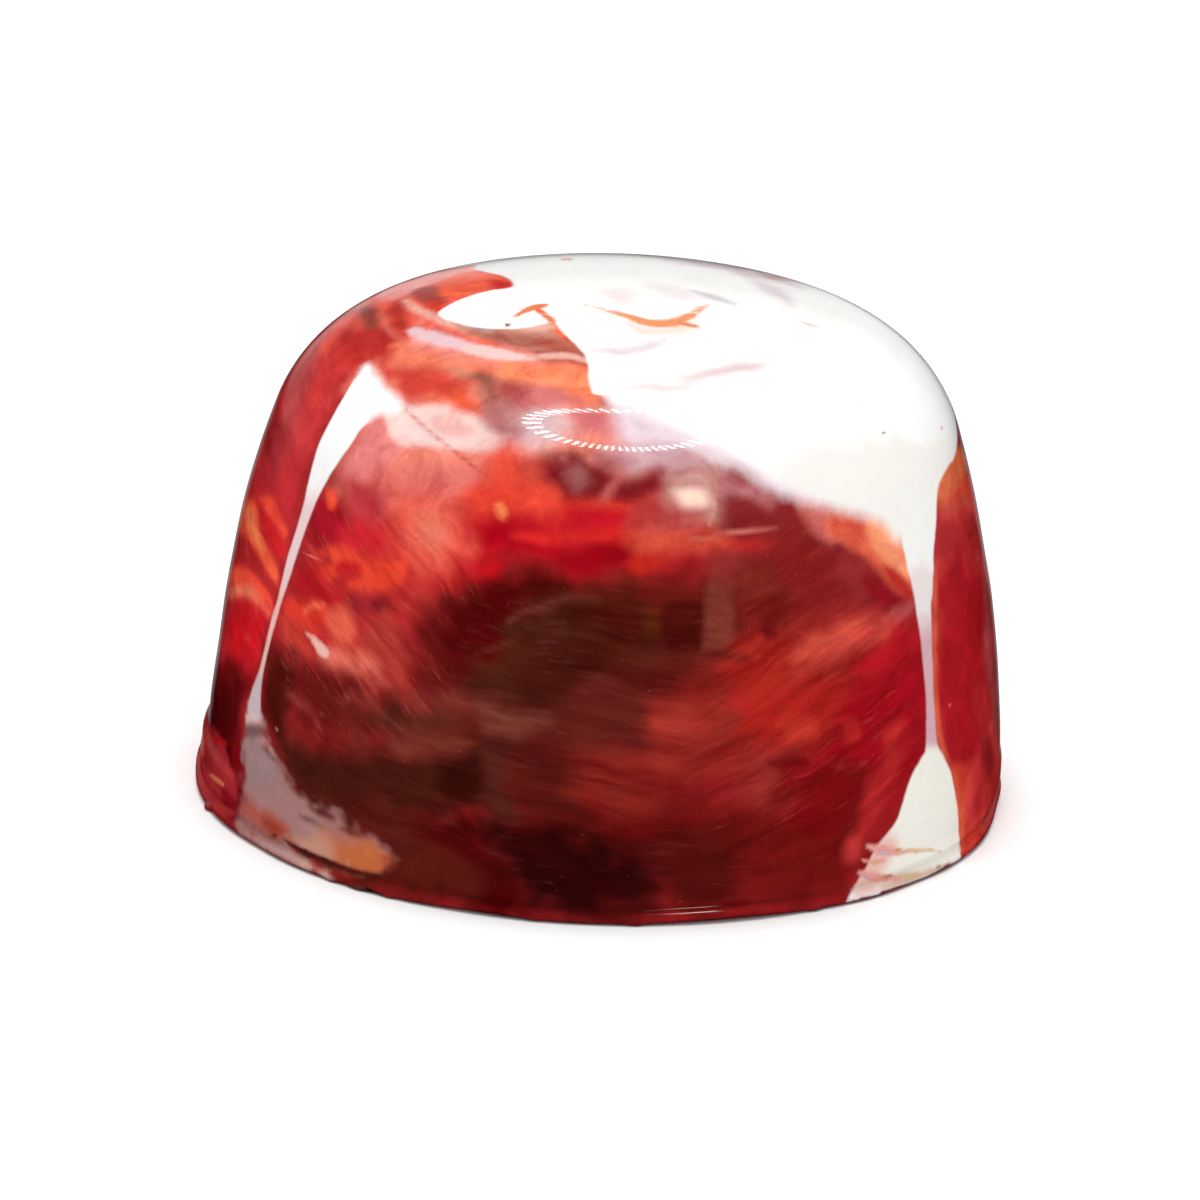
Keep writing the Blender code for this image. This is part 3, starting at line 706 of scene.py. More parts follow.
BACK_WHITES = (
    patch("back sheet", WHITE, 0.10, (-14, 12), (-9, 14.4), (-4, 14.3), (3, 13.7), (11, 12.9), (18, 12.8),
        (23, 13.8), (27, 16.0), (29.4, 19.4), (32, 16.2), (36, 14.0), (43, 12.7), (53, 12.0), (61, 13.0),
        (68, 14.8), (72, 17.2), (74.8, 21.2), (77.4, 17.2), (81, 14.8), (88, 13.0), (97, 12.5), (104, 13.6),
        (109, 15.8), (112, 19), (114.4, 15.6), (119, 12.4), (126, 10.4), (138, 9.6), (128, 7.6), (104, 5),
        (70, 4), (30, 5), (0, 6)),
    patch("back sheet, soft edge", WHITE, 0.45, (38, 12.4), (46, 12.9), (56, 12.9), (64, 13.6), (72, 14.0),
        (82, 13.8), (92, 13.0), (100, 12.7), (96, 9), (60, 9), (38, 10)),
    stroke("drip 1", WHITE, 0.09, (0.9, 0.8, 0.55, 0.42, 0.5, 0.8, 0.45), (29.4, 16.6), (29.4, 18.4),
        (29.3, 20.4), (29.2, 22.4), (29.1, 24), (29, 25.4), (29, 26)),
    stroke("drip 2", WHITE, 0.09, (1.2, 1.0, 0.7, 0.5, 0.6, 1.5, 2.8, 3.5), (74.8, 17.4), (74.9, 19.8),
        (75, 21.8), (75.2, 23.6), (75.3, 25.0), (75.6, 26.6), (76.1, 28.4), (76.5, 30.2)),
    stroke("drip 3", WHITE, 0.09, (0.9, 0.6, 0.4, 0.32, 0.5, 0.25), (111.9, 16.4), (112.2, 18.6),
        (112.6, 20.4), (112.9, 21.8), (113.1, 22.8), (113.2, 23.3)),
    stroke("drip 4", WHITE, 0.09, (0.2, 1.1, 1.4, 0.9, 0.5, 0.45, 0.9), (147.6, 11.6), (148.2, 12.8),
        (149.2, 14.6), (150.6, 18), (151.8, 22), (152.6, 25), (153.2, 27)),
    stroke("lilac film", (160, 124, 126), 0.35, (0.6, 2.0, 2.2, 0.8), (153.2, 26.2), (152, 27.6),
        (147, 28.6), (141, 29.3)),
)

BACK_TINTS = (
    stroke("drip 1, low", (236, 206, 208), 0.6, (1.6, 2.0, 2.0), (30, 19), (29.6, 23), (29.4, 27)),
    stroke("drip 2, low", (222, 184, 190), 0.6, (1.8, 2.2, 1.6), (75, 19.6), (75.2, 22.6), (75.4, 24.6)),
    stroke("drip 2, puddle", (248, 243, 233), 0.3, (3, 5.0), (75.6, 26.4), (76.5, 30.4)),
    stroke("drip 3, low", (230, 196, 198), 0.6, (1.6, 2.0), (112.4, 18.4), (113.3, 23.4)),
    stroke("drip 4, low", (222, 184, 184), 0.6, (1.4, 2.0, 3.0), (150.4, 17), (152, 22), (153.4, 27)),
    stroke("back smear", (252, 228, 228), 0.7, (0.6, 1.6, 2.0, 0.6), (34, 11.2), (50, 10.6), (64, 11.2),
        (74, 12)),
    stroke("back lilac", (238, 226, 234), 0.8, (0.6, 1.8, 1.6, 0.6), (66, 8.2), (82, 8.6), (98, 9.8),
        (110, 11)),
)

BACK_BITS = (
    stroke("back arc", (250, 136, 84), 0.14, (0.06, 0.22, 0.34, 0.26, 0.08), (44, 9.6), (52, 9.0),
        (62, 9.2), (70, 10.2), (75, 11.4)),
    stroke("back arc 2", (252, 170, 126), 0.14, (0.05, 0.2, 0.05), (88, 11.6), (96, 10.9), (104, 11.6)),
    stroke("back speck", (196, 132, 96), 0.05, 0.14, (58, 12.2), (58.6, 12.2)),
    stroke("back crumbs", (222, 176, 156), 0.08, (0.06, 0.22, 0.2, 0.06), (71, 28.6), (75, 28.9),
        (79, 28.8), (82, 28.5)),
    stroke("flank ochre", (176, 104, 66), 0.08, (0.04, 0.16, 0.04), (16, 28.6), (20, 28.8), (24, 28.6)),
)

UNDERSIDE = (70, 22, 17)
UNDERSIDE_RED = (122, 26, 28)
UNDERSIDE_PALE = (196, 160, 148)
UNDERSIDE_RED_PATCHES = ((3.1, 8.0), (-0.3, 0.4))     # size and seed of their noise, and where it shows
UNDERSIDE_PALE_PATCHES = ((4.3, 9.0), (0.25, 0.6))

# The fine streaks along the flow of the chocolate: the field that shows them, how they are turned in
# degrees from level, and their two colours.
STREAKS = (
    ("hair", -7.0, (116, 62, 56), (48, 12, 9)),
    ("slant", 24.0, (200, 72, 58), (112, 14, 18)),
    ("fall", -42.0, (226, 108, 88), (130, 18, 24)),
)
STREAK_WIDTH = 0.17
STREAK_STRETCH = (0.11, 0.2, 1.0)
STREAK_WAVE_SIZE = 3.2
STREAK_WAVE_DEPTH = 0.9
COMB_DEPTH = 0.65                     # how far the streaks draw out the edges of the soft shapes
COMB_SIZES = ((0.50, 0.6), (0.28, 0.4))               # their widths, and each one's share
COMB_STRETCH = 0.16
COMB_SEED = 21.0
COMB_RADIUS = 14.5
COMB_TURNOVER = 2.5                   # how sharply its sense changes between the front and the back
HAIR = (
    patch("heart", 1.0, 1.0, (452, 600), (520, 590), (620, 586), (720, 600), (740, 660), (700, 760),
        (640, 820), (540, 830), (470, 810), (440, 700)),
    patch("foot", 0.8, 1.0, (470, 800), (600, 800), (760, 840), (760, 900), (560, 900), (460, 860)),
    patch("left low", 0.7, 1.0, (340, 720), (450, 720), (470, 800), (420, 860), (320, 800)),
)
SLANT = (
    patch("right of the front", 1.0, 1.0, (740, 600), (800, 590), (900, 600), (922, 660), (905, 780),
        (850, 850), (740, 850), (690, 760), (720, 650)),
    patch("by the cap", 0.5, 0.8, (700, 500), (780, 510), (860, 560), (840, 600), (740, 580)),
)
FALL = (
    patch("left of the front", 1.0, 1.0, (290, 540), (360, 510), (460, 540), (470, 620), (430, 720),
        (380, 740), (300, 720), (270, 650), strength=0.9),
    patch("left wall", 1.0, 0.8, (236, 420), (290, 420), (280, 520), (270, 640), (225, 690), strength=0.8),
    patch("top left", 1.0, 0.8, (320, 330), (380, 300), (400, 400), (330, 430), (300, 400), strength=0.5),
)
# The crown gets more light than the walls, so its own colours are deeper than they look.
LIGHT_ON_WALL = 1.0
LIGHT_MORE_ON_TOP = 0.45
LIGHT_GROWTH = 1.4
PALEST = 0.92

# ---------------------------------------------------------------- the grain and the gloss
# Sizes are in mm. Of a range's four numbers, the first two say between which values of the noise it
# works, and the last two what these become.
GRAIN_SIZE = 0.11
GRAIN_RANGE = (0.25, 0.75, -0.05, 0.05)
CLOUD_SIZE = 1.5
CLOUD_RANGE = (0.25, 0.75, -0.22, 0.22)
BAND_SIZE = 0.62
BAND_RANGE = (0.28, 0.72, -0.34, 0.34)
CALM_RANGE = (0.12, 0.55, 1.0, 0.3)           # by the ground's green
CHANNEL_GROWTH = (("Red", 0.8), ("Green", 1.7), ("Blue", 1.5))
DARKEST_SHADE = 0.1
HAIR_CLUMP_SIZE = 1.2
HAIR_CLUMP_RANGE = (0.36, 0.62)
PALE_HAIR_RANGE = (0.50, 0.78, 0.0, 0.30)
DARK_HAIR_RANGE = (0.50, 0.26, 0.0, 0.30)
SPECK_SIZE = 0.14
SPECK_RANGE = (0.75, 0.78, 0.0, 0.25)
SPECK_COLOUR = (226, 140, 122)
FINE_EDGE_SIZE = 0.16
BROKEN_EDGE_SIZE = 0.7
BROKEN_EDGE_SHARE = 1.6
COATS = (("mark", 1.0), ("white", 0.35), ("bit", 1.4))        # from below, and how broken their edges are
STAIN_SIZE = 0.9
STAIN_RANGE = (0.50, 0.72, 0.0, 0.10)
STAIN_COLOUR = (244, 196, 190)
SMEAR_SIZE = 2.2
SMEAR_RANGE = (0.35, 0.70, 0.26, 0.36)
BITS_ROUGHER = 0.15
DIMPLE_SIZE = 0.22
DIMPLE_SHARE = 0.06
SWELL_SIZE = 1.6
SWELL_SHARE = 0.30
BITS_SHARE = 0.25
RELIEF_STRENGTH = 0.5
RELIEF_HEIGHT = 0.03
REFRACTION = 1.45
SPECULAR_LEVEL = 0.05
COAT_WEIGHT = 0.9
COAT_ROUGHNESS = 0.04

# ---------------------------------------------------------------- the light
WORLD_STRENGTH = 0.64
TOP_LIGHT_HEIGHT = 0.60
TOP_LIGHT_SIZE = 0.50
TOP_LIGHT_POWER = 3.4
RING_ROWS = ((16.6, 0.0), (18.3, -1.0))        # each row's angle from overhead (deg), and its stagger
RING_ROW_HALF_WIDTH = 1.15
RING_ROW_CORE = 0.5                   # the share of it that is fully bright
RING_LEAN = (0.03, 0.062)             # how far the ring is shifted towards +X and +Y
RING_LAMPS = 48                       # in a row
RING_GATHERED = 0.22                  # they stand closer in front and behind, so they look evenly spaced
RING_LAMP_EDGE = (0.1, 0.9)
RING_GLOW = 32.0
GLOW_HORIZON = (-0.17, -0.05)         # the surroundings go from dark to pale over these heights
GLOW_BEHIND = (-0.35, 0.65, 0.02, 0.42)
GLOW_TABLE = (0.905, 0.945, 0.0, 0.24)        # the table behind, as the praline's edges mirror it
GLOW_TABLE_HEIGHT = (-0.20, -0.28)
GLOW_OVERHEAD = (0.02, 0.20, 1.0, 0.17)
GLOW_ASIDE = (0.10, 0.45, 1.0, 0.22)
SOFTBOX_SEEN = (695.0, 498.0)         # where the small softbox is mirrored
SOFTBOX_PARTS = (                     # half sizes, softness of the edge, brightness
    ((0.105, 0.30), 0.10, 0.9),
    ((0.072, 0.115), 0.75, 17.0),
)
SOFTBOX_COLOUR = (1.0, 0.92, 0.66)
BACKDROP_RADIUS = 2.8
SURROUNDINGS_RADIUS = 3.0
FLOOR_RADIUS = 1.6
FLOOR_COLOUR = (0.90, 0.90, 0.90)
FLOOR_GRAIN_SIZE = 40.0
FLOOR_GRAIN_SHADE = 0.985
FLOOR_ROUGHNESS = (0.85, 0.95)
WHITE_LIGHT = (1.0, 1.0, 1.0)


def smooth_step(start, end, value):
    """0 before start and 1 past end, eased between them."""
    share = np.clip((value - start) / (end - start), 0.0, 1.0)
    return share * share * (3.0 - 2.0 * share)


def bell(direction, centre, half_width):
    """1 at the centre direction, falling away over the half-width."""
    apart = (direction - centre + 180.0) % 360.0 - 180.0
    return np.exp(-(apart / half_width) ** 2)


def arc(start, slope_from, slope_to, radius, steps):
    """Points after start on an outward arc whose slope below level grows between two angles."""
    slopes = np.radians(np.linspace(slope_from, slope_to, steps + 1)[1:])
    first = math.radians(slope_from)
    out = start[0] + radius * (np.sin(slopes) - math.sin(first))
    up = start[1] - radius * (math.cos(first) - np.cos(slopes))
    return list(zip(out, up))


def wall_slope_at(shoulder_foot, height):
    """The wall arc's slope where it comes down to a height."""
    fallen = (shoulder_foot[1] - height) / WALL_RADIUS
    return math.degrees(math.acos(math.cos(math.radians(SHOULDER_END_SLOPE)) - fallen))


def outer_outline():
    """The half outline from the middle of the crown down to where the underside's flat begins."""
    points = [(0.0, HEIGHT)]
    points += arc(points[-1], 0.0, CROWN_END_SLOPE, CROWN_RADIUS, CROWN_RINGS)
    points += arc(points[-1], CROWN_END_SLOPE, SHOULDER_END_SLOPE, SHOULDER_RADIUS, SHOULDER_RINGS)
    shoulder_foot = points[-1]
    foot_slope = wall_slope_at(shoulder_foot, FOOT_TOP)
    corner_slope = wall_slope_at(shoulder_foot, CORNER_RADIUS)
    points += arc(shoulder_foot, SHOULDER_END_SLOPE, foot_slope, WALL_RADIUS, WALL_RINGS)
    points += arc(points[-1], foot_slope, corner_slope, WALL_RADIUS, FOOT_RINGS)
    corner_out = points[-1][0] - CORNER_RADIUS
    for turn in np.radians(np.linspace(0.0, 90.0, CORNER_RINGS + 1)[1:]):
        points.append((corner_out + CORNER_RADIUS * math.cos(turn), CORNER_RADIUS * (1.0 - math.sin(turn))))
    return np.array(points)


def cloud(places, size, seed=0.0):
    """Smooth noise between about -1 and 1 at every place, with features of a given size."""
    offset = Vector((seed * 7.31, seed * 3.17, seed * 5.71))
    return np.array([noise.noise(Vector(place) / size + offset) for place in places.tolist()])


def foot_relief(direction, height):
    """How far the rim, its crease, its lobes and the swellings move the foot outwards."""
    swelling_share = 1.0 - smooth_step(SWELLING_FULL, SWELLING_END, height)
    lobe_share = 1.0 - smooth_step(CREASE_HEIGHT, LOBE_END, height)
    rim_share = 1.0 - smooth_step(CREASE_HEIGHT - CREASE_HALF_HEIGHT, CREASE_HEIGHT, height)
    crease_share = np.exp(-((height - CREASE_HEIGHT) / CREASE_HALF_HEIGHT) ** 2)
    outwards = RIM_PROUD * rim_share - CREASE_DEPTH * crease_share
    for centre, half_width, depth in FOOT_SWELLINGS:
        outwards += depth * swelling_share * bell(direction, centre, half_width)
    for centre, half_width, depth in RIM_LOBES:
        outwards += depth * lobe_share * bell(direction, centre, half_width)
    crumb_share = 1.0 - smooth_step(0.0, CRUMB_TOP, height)
    for centre, half_width, depth in FOOT_CRUMBS:
        outwards += depth * crumb_share * bell(direction, centre, half_width)
    return outwards


def chipped(direction, height):
    """How far the chips lift the rim's lower edge."""
    share = 1.0 - smooth_step(0.0, CHIP_END, height)
    return share * sum(lift * bell(direction, centre, width) for centre, width, lift in EDGE_CHIPS)


def wall_relief(direction, height):
    """The broad flat on the left wall."""
    share = 1.0 - smooth_step(LEFT_FLAT_FULL, LEFT_FLAT_END, height)
    return -LEFT_FLAT_DEPTH * share * bell(direction, LEFT_FLAT_DIRECTION, LEFT_FLAT_HALF_WIDTH)


def shaped(places, foot_radius):
    """Places on the turned shape, moved to where the real, uneven surface is."""
    out = np.maximum(np.hypot(places[:, 0], places[:, 1]), 1e-6)
    up = places[:, 2]
    direction = np.degrees(np.arctan2(places[:, 1], places[:, 0]))
    wave = WAVE_DEPTH * cloud(places, WAVE_SIZE) * (1.0 - smooth_step(FOOT_TOP, HEIGHT, up))
    moved = foot_relief(direction, up) + wall_relief(direction, up) + wave
    low = up < CREASE_HEIGHT
    kept = smooth_step(UNDERSIDE_FLAT, UNDERSIDE_END, out / foot_radius)
    moved = np.where(low, moved * kept, moved)
    lifted = np.where(low, chipped(direction, up) * smooth_step(UNDERSIDE_END, 1.0, out / foot_radius), 0.0)
    scale = np.where(out < 1e-5, 1.0, (out + moved) / out)
    leaning = LEAN * up / HEIGHT
    return np.stack([places[:, 0] * scale + leaning, places[:, 1] * scale, up + lifted], axis=1)


def column_turns():
    """The columns' directions in radians, closest together at the front."""
    fine = np.linspace(-np.pi, np.pi, TURN_SAMPLES)
    density = 1.0 + FRONT_CLOSER * np.cos(fine - math.radians(FRONT))
    passed = np.concatenate([[0.0], np.cumsum((density[1:] + density[:-1]) / 2.0)])
    return np.interp(np.arange(COLUMNS) / COLUMNS * passed[-1], passed, fine)


class Surface:
    """The praline's skin as a grid of rings and columns, with a flat map of it for drawing on.

    The flat map is a disc seen from above on which every small shape keeps its angles, so a curve
    drawn there has no kinks on the praline; `stretch` is how many times larger the map is at a place.
    """

    def __init__(self):
        outline = outer_outline()
        flat_edge = outline[-1, 0]
        shares = np.linspace(1.0, 0.0, UNDERSIDE_RINGS + 1)[1:-1]
        under = np.stack([flat_edge * shares, np.zeros_like(shares)], axis=1)
        self.outer_rings = len(outline) - 1
        rings = np.concatenate([outline[1:], under])
        self.ring_count = len(rings)
        turns = column_turns()
        ring_out, ring_up = rings[:, :1], rings[:, 1:]
        grid = np.stack([ring_out * np.cos(turns), ring_out * np.sin(turns), ring_up + 0.0 * turns], axis=2)
        places = np.concatenate([[(0.0, 0.0, HEIGHT)], grid.reshape(-1, 3), [(0.0, 0.0, 0.0)]])
        self.places = shaped(places, outline[:, 0].max())

        steps = np.hypot(*np.diff(np.concatenate([outline, under]), axis=0).T)
        down = np.cumsum(steps)
        self.outer_length = down[self.outer_rings - 1]
        growth = np.cumsum(steps[1:] * 2.0 / (rings[1:, 0] + rings[:-1, 0]))
        map_out = rings[0, 0] * np.exp(np.concatenate([[0.0], growth]))
        map_out[self.outer_rings:] = map_out[self.outer_rings - 1]
        self.ring_down = down
        self.ring_map_out = map_out
        self.down = self.by_vertex(down, 0.0, down[-1])
        self.turn = self.by_vertex_and_column(turns)
        far = self.by_vertex(map_out, 0.0, map_out[-1])
        self.map = np.stack([far * np.cos(self.turn), far * np.sin(self.turn)], axis=1)
        self.ring_stretch = map_out / np.maximum(rings[:, 0], 1e-3)
        self.stretch = self.by_vertex(self.ring_stretch, 1.0, 1.0)
        self.outer = np.arange(len(self.places)) <= self.outer_rings * COLUMNS

    def by_vertex(self, ring_values, first, last):
        """A value for each ring, spread over the ring's vertices, with one more at each end."""
        return np.concatenate([[first], np.repeat(ring_values, COLUMNS), [last]])

    def by_vertex_and_column(self, column_values):
        """A value for each column, repeated for every ring."""
        return np.concatenate([[0.0], np.tile(column_values, self.ring_count), [0.0]])

    def map_place(self, direction, down):
        """The map place at a direction and a way down the outline from the crown's middle."""
        far = np.interp(down, self.ring_down, self.ring_map_out)
        turn = math.radians(direction)
        return np.array([far * math.cos(turn), far * math.sin(turn)])

    def mesh(self, name):
        """The grid as a Blender mesh, in metres, with its map for the baked colours."""
        first_ring = 1 + np.arange(COLUMNS)
        beside = np.roll(first_ring, -1)
        top = [(0, int(a), int(b)) for a, b in zip(first_ring, beside)]
        quads = []
        for ring in range(self.ring_count - 1):
            upper = first_ring + ring * COLUMNS
            upper_beside = beside + ring * COLUMNS
            quads.append(np.stack([upper, upper + COLUMNS, upper_beside + COLUMNS, upper_beside], axis=1))
        last = len(self.places) - 1
        ring_start = 1 + (self.ring_count - 1) * COLUMNS
        bottom = [(last, ring_start + (i + 1) % COLUMNS, ring_start + i) for i in range(COLUMNS)]
        mesh = bpy.data.meshes.new(name)
        faces = top + np.concatenate(quads).tolist() + bottom
        mesh.from_pydata((self.places * METRES).tolist(), [], faces)
        mesh.update()
        mesh.shade_smooth()
        return mesh


class Camera:
    """The photograph's camera: it turns places into pixels, and pixels into rays."""

    def __init__(self):
        elevation = math.radians(CAMERA_ELEVATION)
        roll = math.radians(CAMERA_ROLL)
        self.focal = CAMERA_DISTANCE / PIXEL
        self.right = np.array([1.0, 0.0, 0.0])
        self.up = np.array([0.0, math.sin(elevation), math.cos(elevation)])
        self.ahead = np.array([0.0, math.cos(elevation), -math.sin(elevation)])
        self.place = np.array([0.0, 0.0, AIM_HEIGHT]) - CAMERA_DISTANCE * self.ahead
        self.cos, self.sin = math.cos(roll), math.sin(roll)

    def ray(self, pixel):
        """The direction in which the camera sees a pixel."""
        across, down = pixel[0] - AIM_SEEN[0], pixel[1] - AIM_SEEN[1]
        right = self.cos * across + self.sin * down
        below = self.cos * down - self.sin * across
        return self.ahead * self.focal + self.right * right - self.up * below

    def make(self):
        """The Blender camera, aimed so that the middle of the frame is pixel (600, 600)."""
        aim = self.ray((PHOTO_SIDE / 2.0, PHOTO_SIDE / 2.0))
        aim /= np.linalg.norm(aim)
        up = self.up * self.cos - self.right * self.sin
        right = np.cross(aim, up)
        right /= np.linalg.norm(right)
        up = np.cross(right, aim)
        data = bpy.data.cameras.new("camera")
        data.sensor_width = SENSOR
        data.lens = self.focal * SENSOR / PHOTO_SIDE
        data.clip_start = CLIP_START
        camera = bpy.data.objects.new("camera", data)
        bpy.context.scene.collection.objects.link(camera)
        turn = Matrix(np.stack([right, up, -aim], axis=1).tolist()).to_4x4()
        camera.matrix_world = Matrix.Translation(self.place * METRES) @ turn
        bpy.context.scene.camera = camera


def smooth_path(points, closed, spacing):
    """A curve through the points (a closed one returns to the first), sampled at about a spacing."""
    points = np.asarray(points, dtype=float)
    count = len(points)
    if closed:
        before, after = np.roll(points, 1, axis=0), np.roll(points, -1, axis=0)
        ends = np.arange(count)
    else:
        before = np.concatenate([points[:1], points[:-1]])
        after = np.concatenate([points[1:], points[-1:]])
        ends = np.arange(count - 1)
    pull = (after - before) / 2.0
    path = []
    for i in ends:
        j = (i + 1) % count
        gap = np.linalg.norm(points[j][:2] - points[i][:2])
        share = np.linspace(0.0, 1.0, max(2, int(gap / spacing) + 1), endpoint=False)[:, None]
        square, cube = share ** 2, share ** 3
        path.append(points[i] * (2 * cube - 3 * square + 1) + points[j] * (3 * square - 2 * cube)
            + pull[i] * (cube - 2 * square + share) + pull[j] * (cube - square))
    if not closed:
        path.append(points[-1:])
    return np.concatenate(path)


def ribbon(path, half_widths):
    """The closed outline of a stroke along a path."""
    along = np.gradient(path, axis=0)
    along /= np.maximum(np.linalg.norm(along, axis=1, keepdims=True), 1e-9)
    aside = np.stack([-along[:, 1], along[:, 0]], axis=1) * half_widths[:, None]
    return np.concatenate([path + aside, (path - aside)[::-1]])


def inside_distance(outline, places):
    """How far places lie inside a closed outline; outside it the distance is negative."""
    nearest = np.full(len(places), np.inf)
    inside = np.zeros(len(places), dtype=bool)
    for start, end in zip(outline, np.roll(outline, -1, axis=0)):
        edge = end - start
        length = edge @ edge
        if length < 1e-12:
            continue
        to_place = places - start
        share = np.clip(to_place @ edge / length, 0.0, 1.0)
        apart = to_place - share[:, None] * edge
        nearest = np.minimum(nearest, np.einsum("ij,ij->i", apart, apart))
        crosses = (start[1] > places[:, 1]) != (end[1] > places[:, 1])
        rise = edge[1] if abs(edge[1]) > 1e-12 else 1e-12
        inside ^= crosses & (to_place[:, 0] < to_place[:, 1] * edge[0] / rise)
    return np.where(inside, 1.0, -1.0) * np.sqrt(nearest)


def linear(colour):
    """A colour as it is seen (0 to 255 a channel) in the renderer's linear values."""
    seen = np.asarray(colour, dtype=float) / 255.0
    return np.where(seen <= 0.04045, seen / 12.92, ((seen + 0.055) / 1.055) ** 2.4)


class Layer:
    """One coat of paint: each vertex's colour, and how deep inside the coat's shapes it lies."""

    def __init__(self, count):
        self.colour = np.full((count, 3), 0.5)
        self.depth = np.full(count, -DEPTH_LIMIT)

    def add(self, rows, depth, colour):
        """Add a shape: the vertices, their depth in units of its edge's softness, and its colour."""
        depth = np.clip(depth, -DEPTH_LIMIT, DEPTH_LIMIT)
        wins = depth > self.depth[rows]
        rows = rows[wins]
        self.depth[rows] = depth[wins]
        self.colour[rows] = colour[wins] if colour.ndim == 2 else colour


class Painter:
    """Lays shapes on the surface, given as the photograph shows them or by direction and way down."""

    def __init__(self, surface, camera, mesh):
        self.surface = surface
        self.camera = camera
        self.mesh = mesh
        self.faces = [tuple(face.vertices) for face in mesh.polygons]
        corners = [Vector(place) for place in surface.places.tolist()]
        self.corners = corners
        self.tree = BVHTree.FromPolygons(corners, self.faces)
        count = len(corners)
        self.ground = np.tile(linear(RED), (count, 1))
        self.hair = np.zeros((count, 1))
        self.slant = np.zeros((count, 1))
        self.fall = np.zeros((count, 1))
        self.marks = Layer(count)
        self.white = Layer(count)
        self.bits = Layer(count)
        self.wobble = cloud(surface.places, WOBBLE_SIZE, WOBBLE_SEED)
        self.ripple = cloud(surface.places, RIPPLE_SIZE, RIPPLE_SEED)
        normals = np.empty(count * 3)
        mesh.vertices.foreach_get("normal", normals)
        self.normals = normals.reshape(-1, 3)
        self.turned_away = smooth_step(0.0, 0.5, self.normals @ camera.ahead)[:, None]
        self.swirl = self.swirled(SWIRLS) + self.turned_away * self.swirled(FAR_SWIRLS)

    def swirled(self, swirls):
        """How soft shapes are pulled about at every vertex, in mm of the map."""
        pulls = []
        for size, depth, seed in swirls:
            pull = [cloud(self.surface.places, size, seed + more) for more in (0.0, 0.5)]
            pulls.append(depth * np.stack(pull, axis=1))
        return sum(pulls)

    def landed(self, pixel):
        """Where on the map the camera's ray through a pixel lands; past the edge, the nearest place."""
        middle = np.array(SEEN_MIDDLE)
        aimed = np.array(pixel[:2], dtype=float)
        for _ in range(EDGE_STEPS):
            hit, _, face, _ = self.tree.ray_cast(Vector(self.camera.place), Vector(self.camera.ray(aimed)))
            if hit is not None:
                break
            aimed += (middle - aimed) * EDGE_STEP
        rows = list(self.faces[face])
        weights = poly_3d_calc([self.corners[row] for row in rows], hit)
        return np.asarray(weights) @ self.surface.map[rows]

    def laid(self, outline):
        """An outline of seen points, brought onto the map."""
        return np.array([self.landed(pixel) for pixel in outline])

    def near(self, outline, reach):
        """The outer vertices that a shape with this outline could touch, within a reach in mm."""
        middle = (outline.min(axis=0) + outline.max(axis=0)) / 2.0
        half = (outline.max(axis=0) - outline.min(axis=0)) / 2.0
        apart = np.abs(self.surface.map - middle) - half
        close = np.all(apart < reach * self.surface.stretch[:, None], axis=1)
        return np.flatnonzero(close & self.surface.outer)

    def depth(self, outline, soft, ragged, warped=0.0, reach=REACH):
        """The vertices near a shape, and their depth inside it in units of its softness."""
        rows = self.near(outline, reach + soft)
        places = self.surface.map[rows] + warped * self.swirl[rows] * self.surface.stretch[rows, None]
        depth = inside_distance(outline, places) / self.surface.stretch[rows]
        depth += ragged * (self.wobble[rows] + RIPPLE_SHARE * self.ripple[rows])
        return rows, depth / soft

    def wash(self, target, outline, shape, far=False):
        """Blend a shape's colour, or its number, softly into a field of one row for each vertex."""
        warped = 1.0 if far else smooth_step(SWIRL_SOFT_FROM, SWIRL_SOFT_TO, shape["soft"])
        reach = FAR_REACH if far else REACH
        rows, depth = self.depth(outline, shape["soft"], shape["ragged"], warped, reach)
        cover = shape["strength"] * smooth_step(-1.0, 1.0, depth)[:, None]
        value = linear(shape["colour"]) if target.shape[1] == 3 else shape["colour"]
        target[rows] += cover * (value - target[rows])

    def seen_patch(self, points):
        """A closed outline through seen points."""
        return self.laid(smooth_path(points, True, PATH_SPACING))

    def seen_stroke(self, points, width):
        """A stroke through seen points; the width in pixels is one number or one for each point."""
        widths = np.broadcast_to(np.asarray(width, dtype=float), len(points))
        path = smooth_path([(*point, wide) for point, wide in zip(points, widths)], False, PATH_SPACING)
        return self.laid(ribbon(path[:, :2], np.maximum(path[:, 2], THINNEST_SEEN) / 2.0))

    def placed_patch(self, points):
        """A closed outline from points given as direction and way down."""
        corners = [self.surface.map_place(*point) for point in points]
        return smooth_path(corners, True, PATH_SPACING * PIXEL)

    def placed_stroke(self, points, width):
        """A stroke through points given as direction and way down; the width is in mm."""
        widths = np.broadcast_to(np.asarray(width, dtype=float), len(points))
        surface = self.surface
        corners = [surface.map_place(*point) for point in points]
        stretch = [np.interp(point[1], surface.ring_down, surface.ring_stretch) for point in points]
        rows = [(*corner, wide * more) for corner, wide, more in zip(corners, widths, stretch)]
        path = smooth_path(rows, False, PATH_SPACING * PIXEL)
        return ribbon(path[:, :2], np.maximum(path[:, 2], THINNEST_PLACED) / 2.0)

    def outline(self, shape, placed):
        """A shape's closed outline on the map."""
        if shape["width"] is None:
            return self.placed_patch(shape["points"]) if placed else self.seen_patch(shape["points"])
        if placed:
            return self.placed_stroke(shape["points"], shape["width"])
        return self.seen_stroke(shape["points"], shape["width"])

    def wash_all(self, target, shapes, placed=False):
        """Wash shapes into a field, one over the other."""
        for shape in shapes:
            self.wash(target, self.outline(shape, placed), shape)

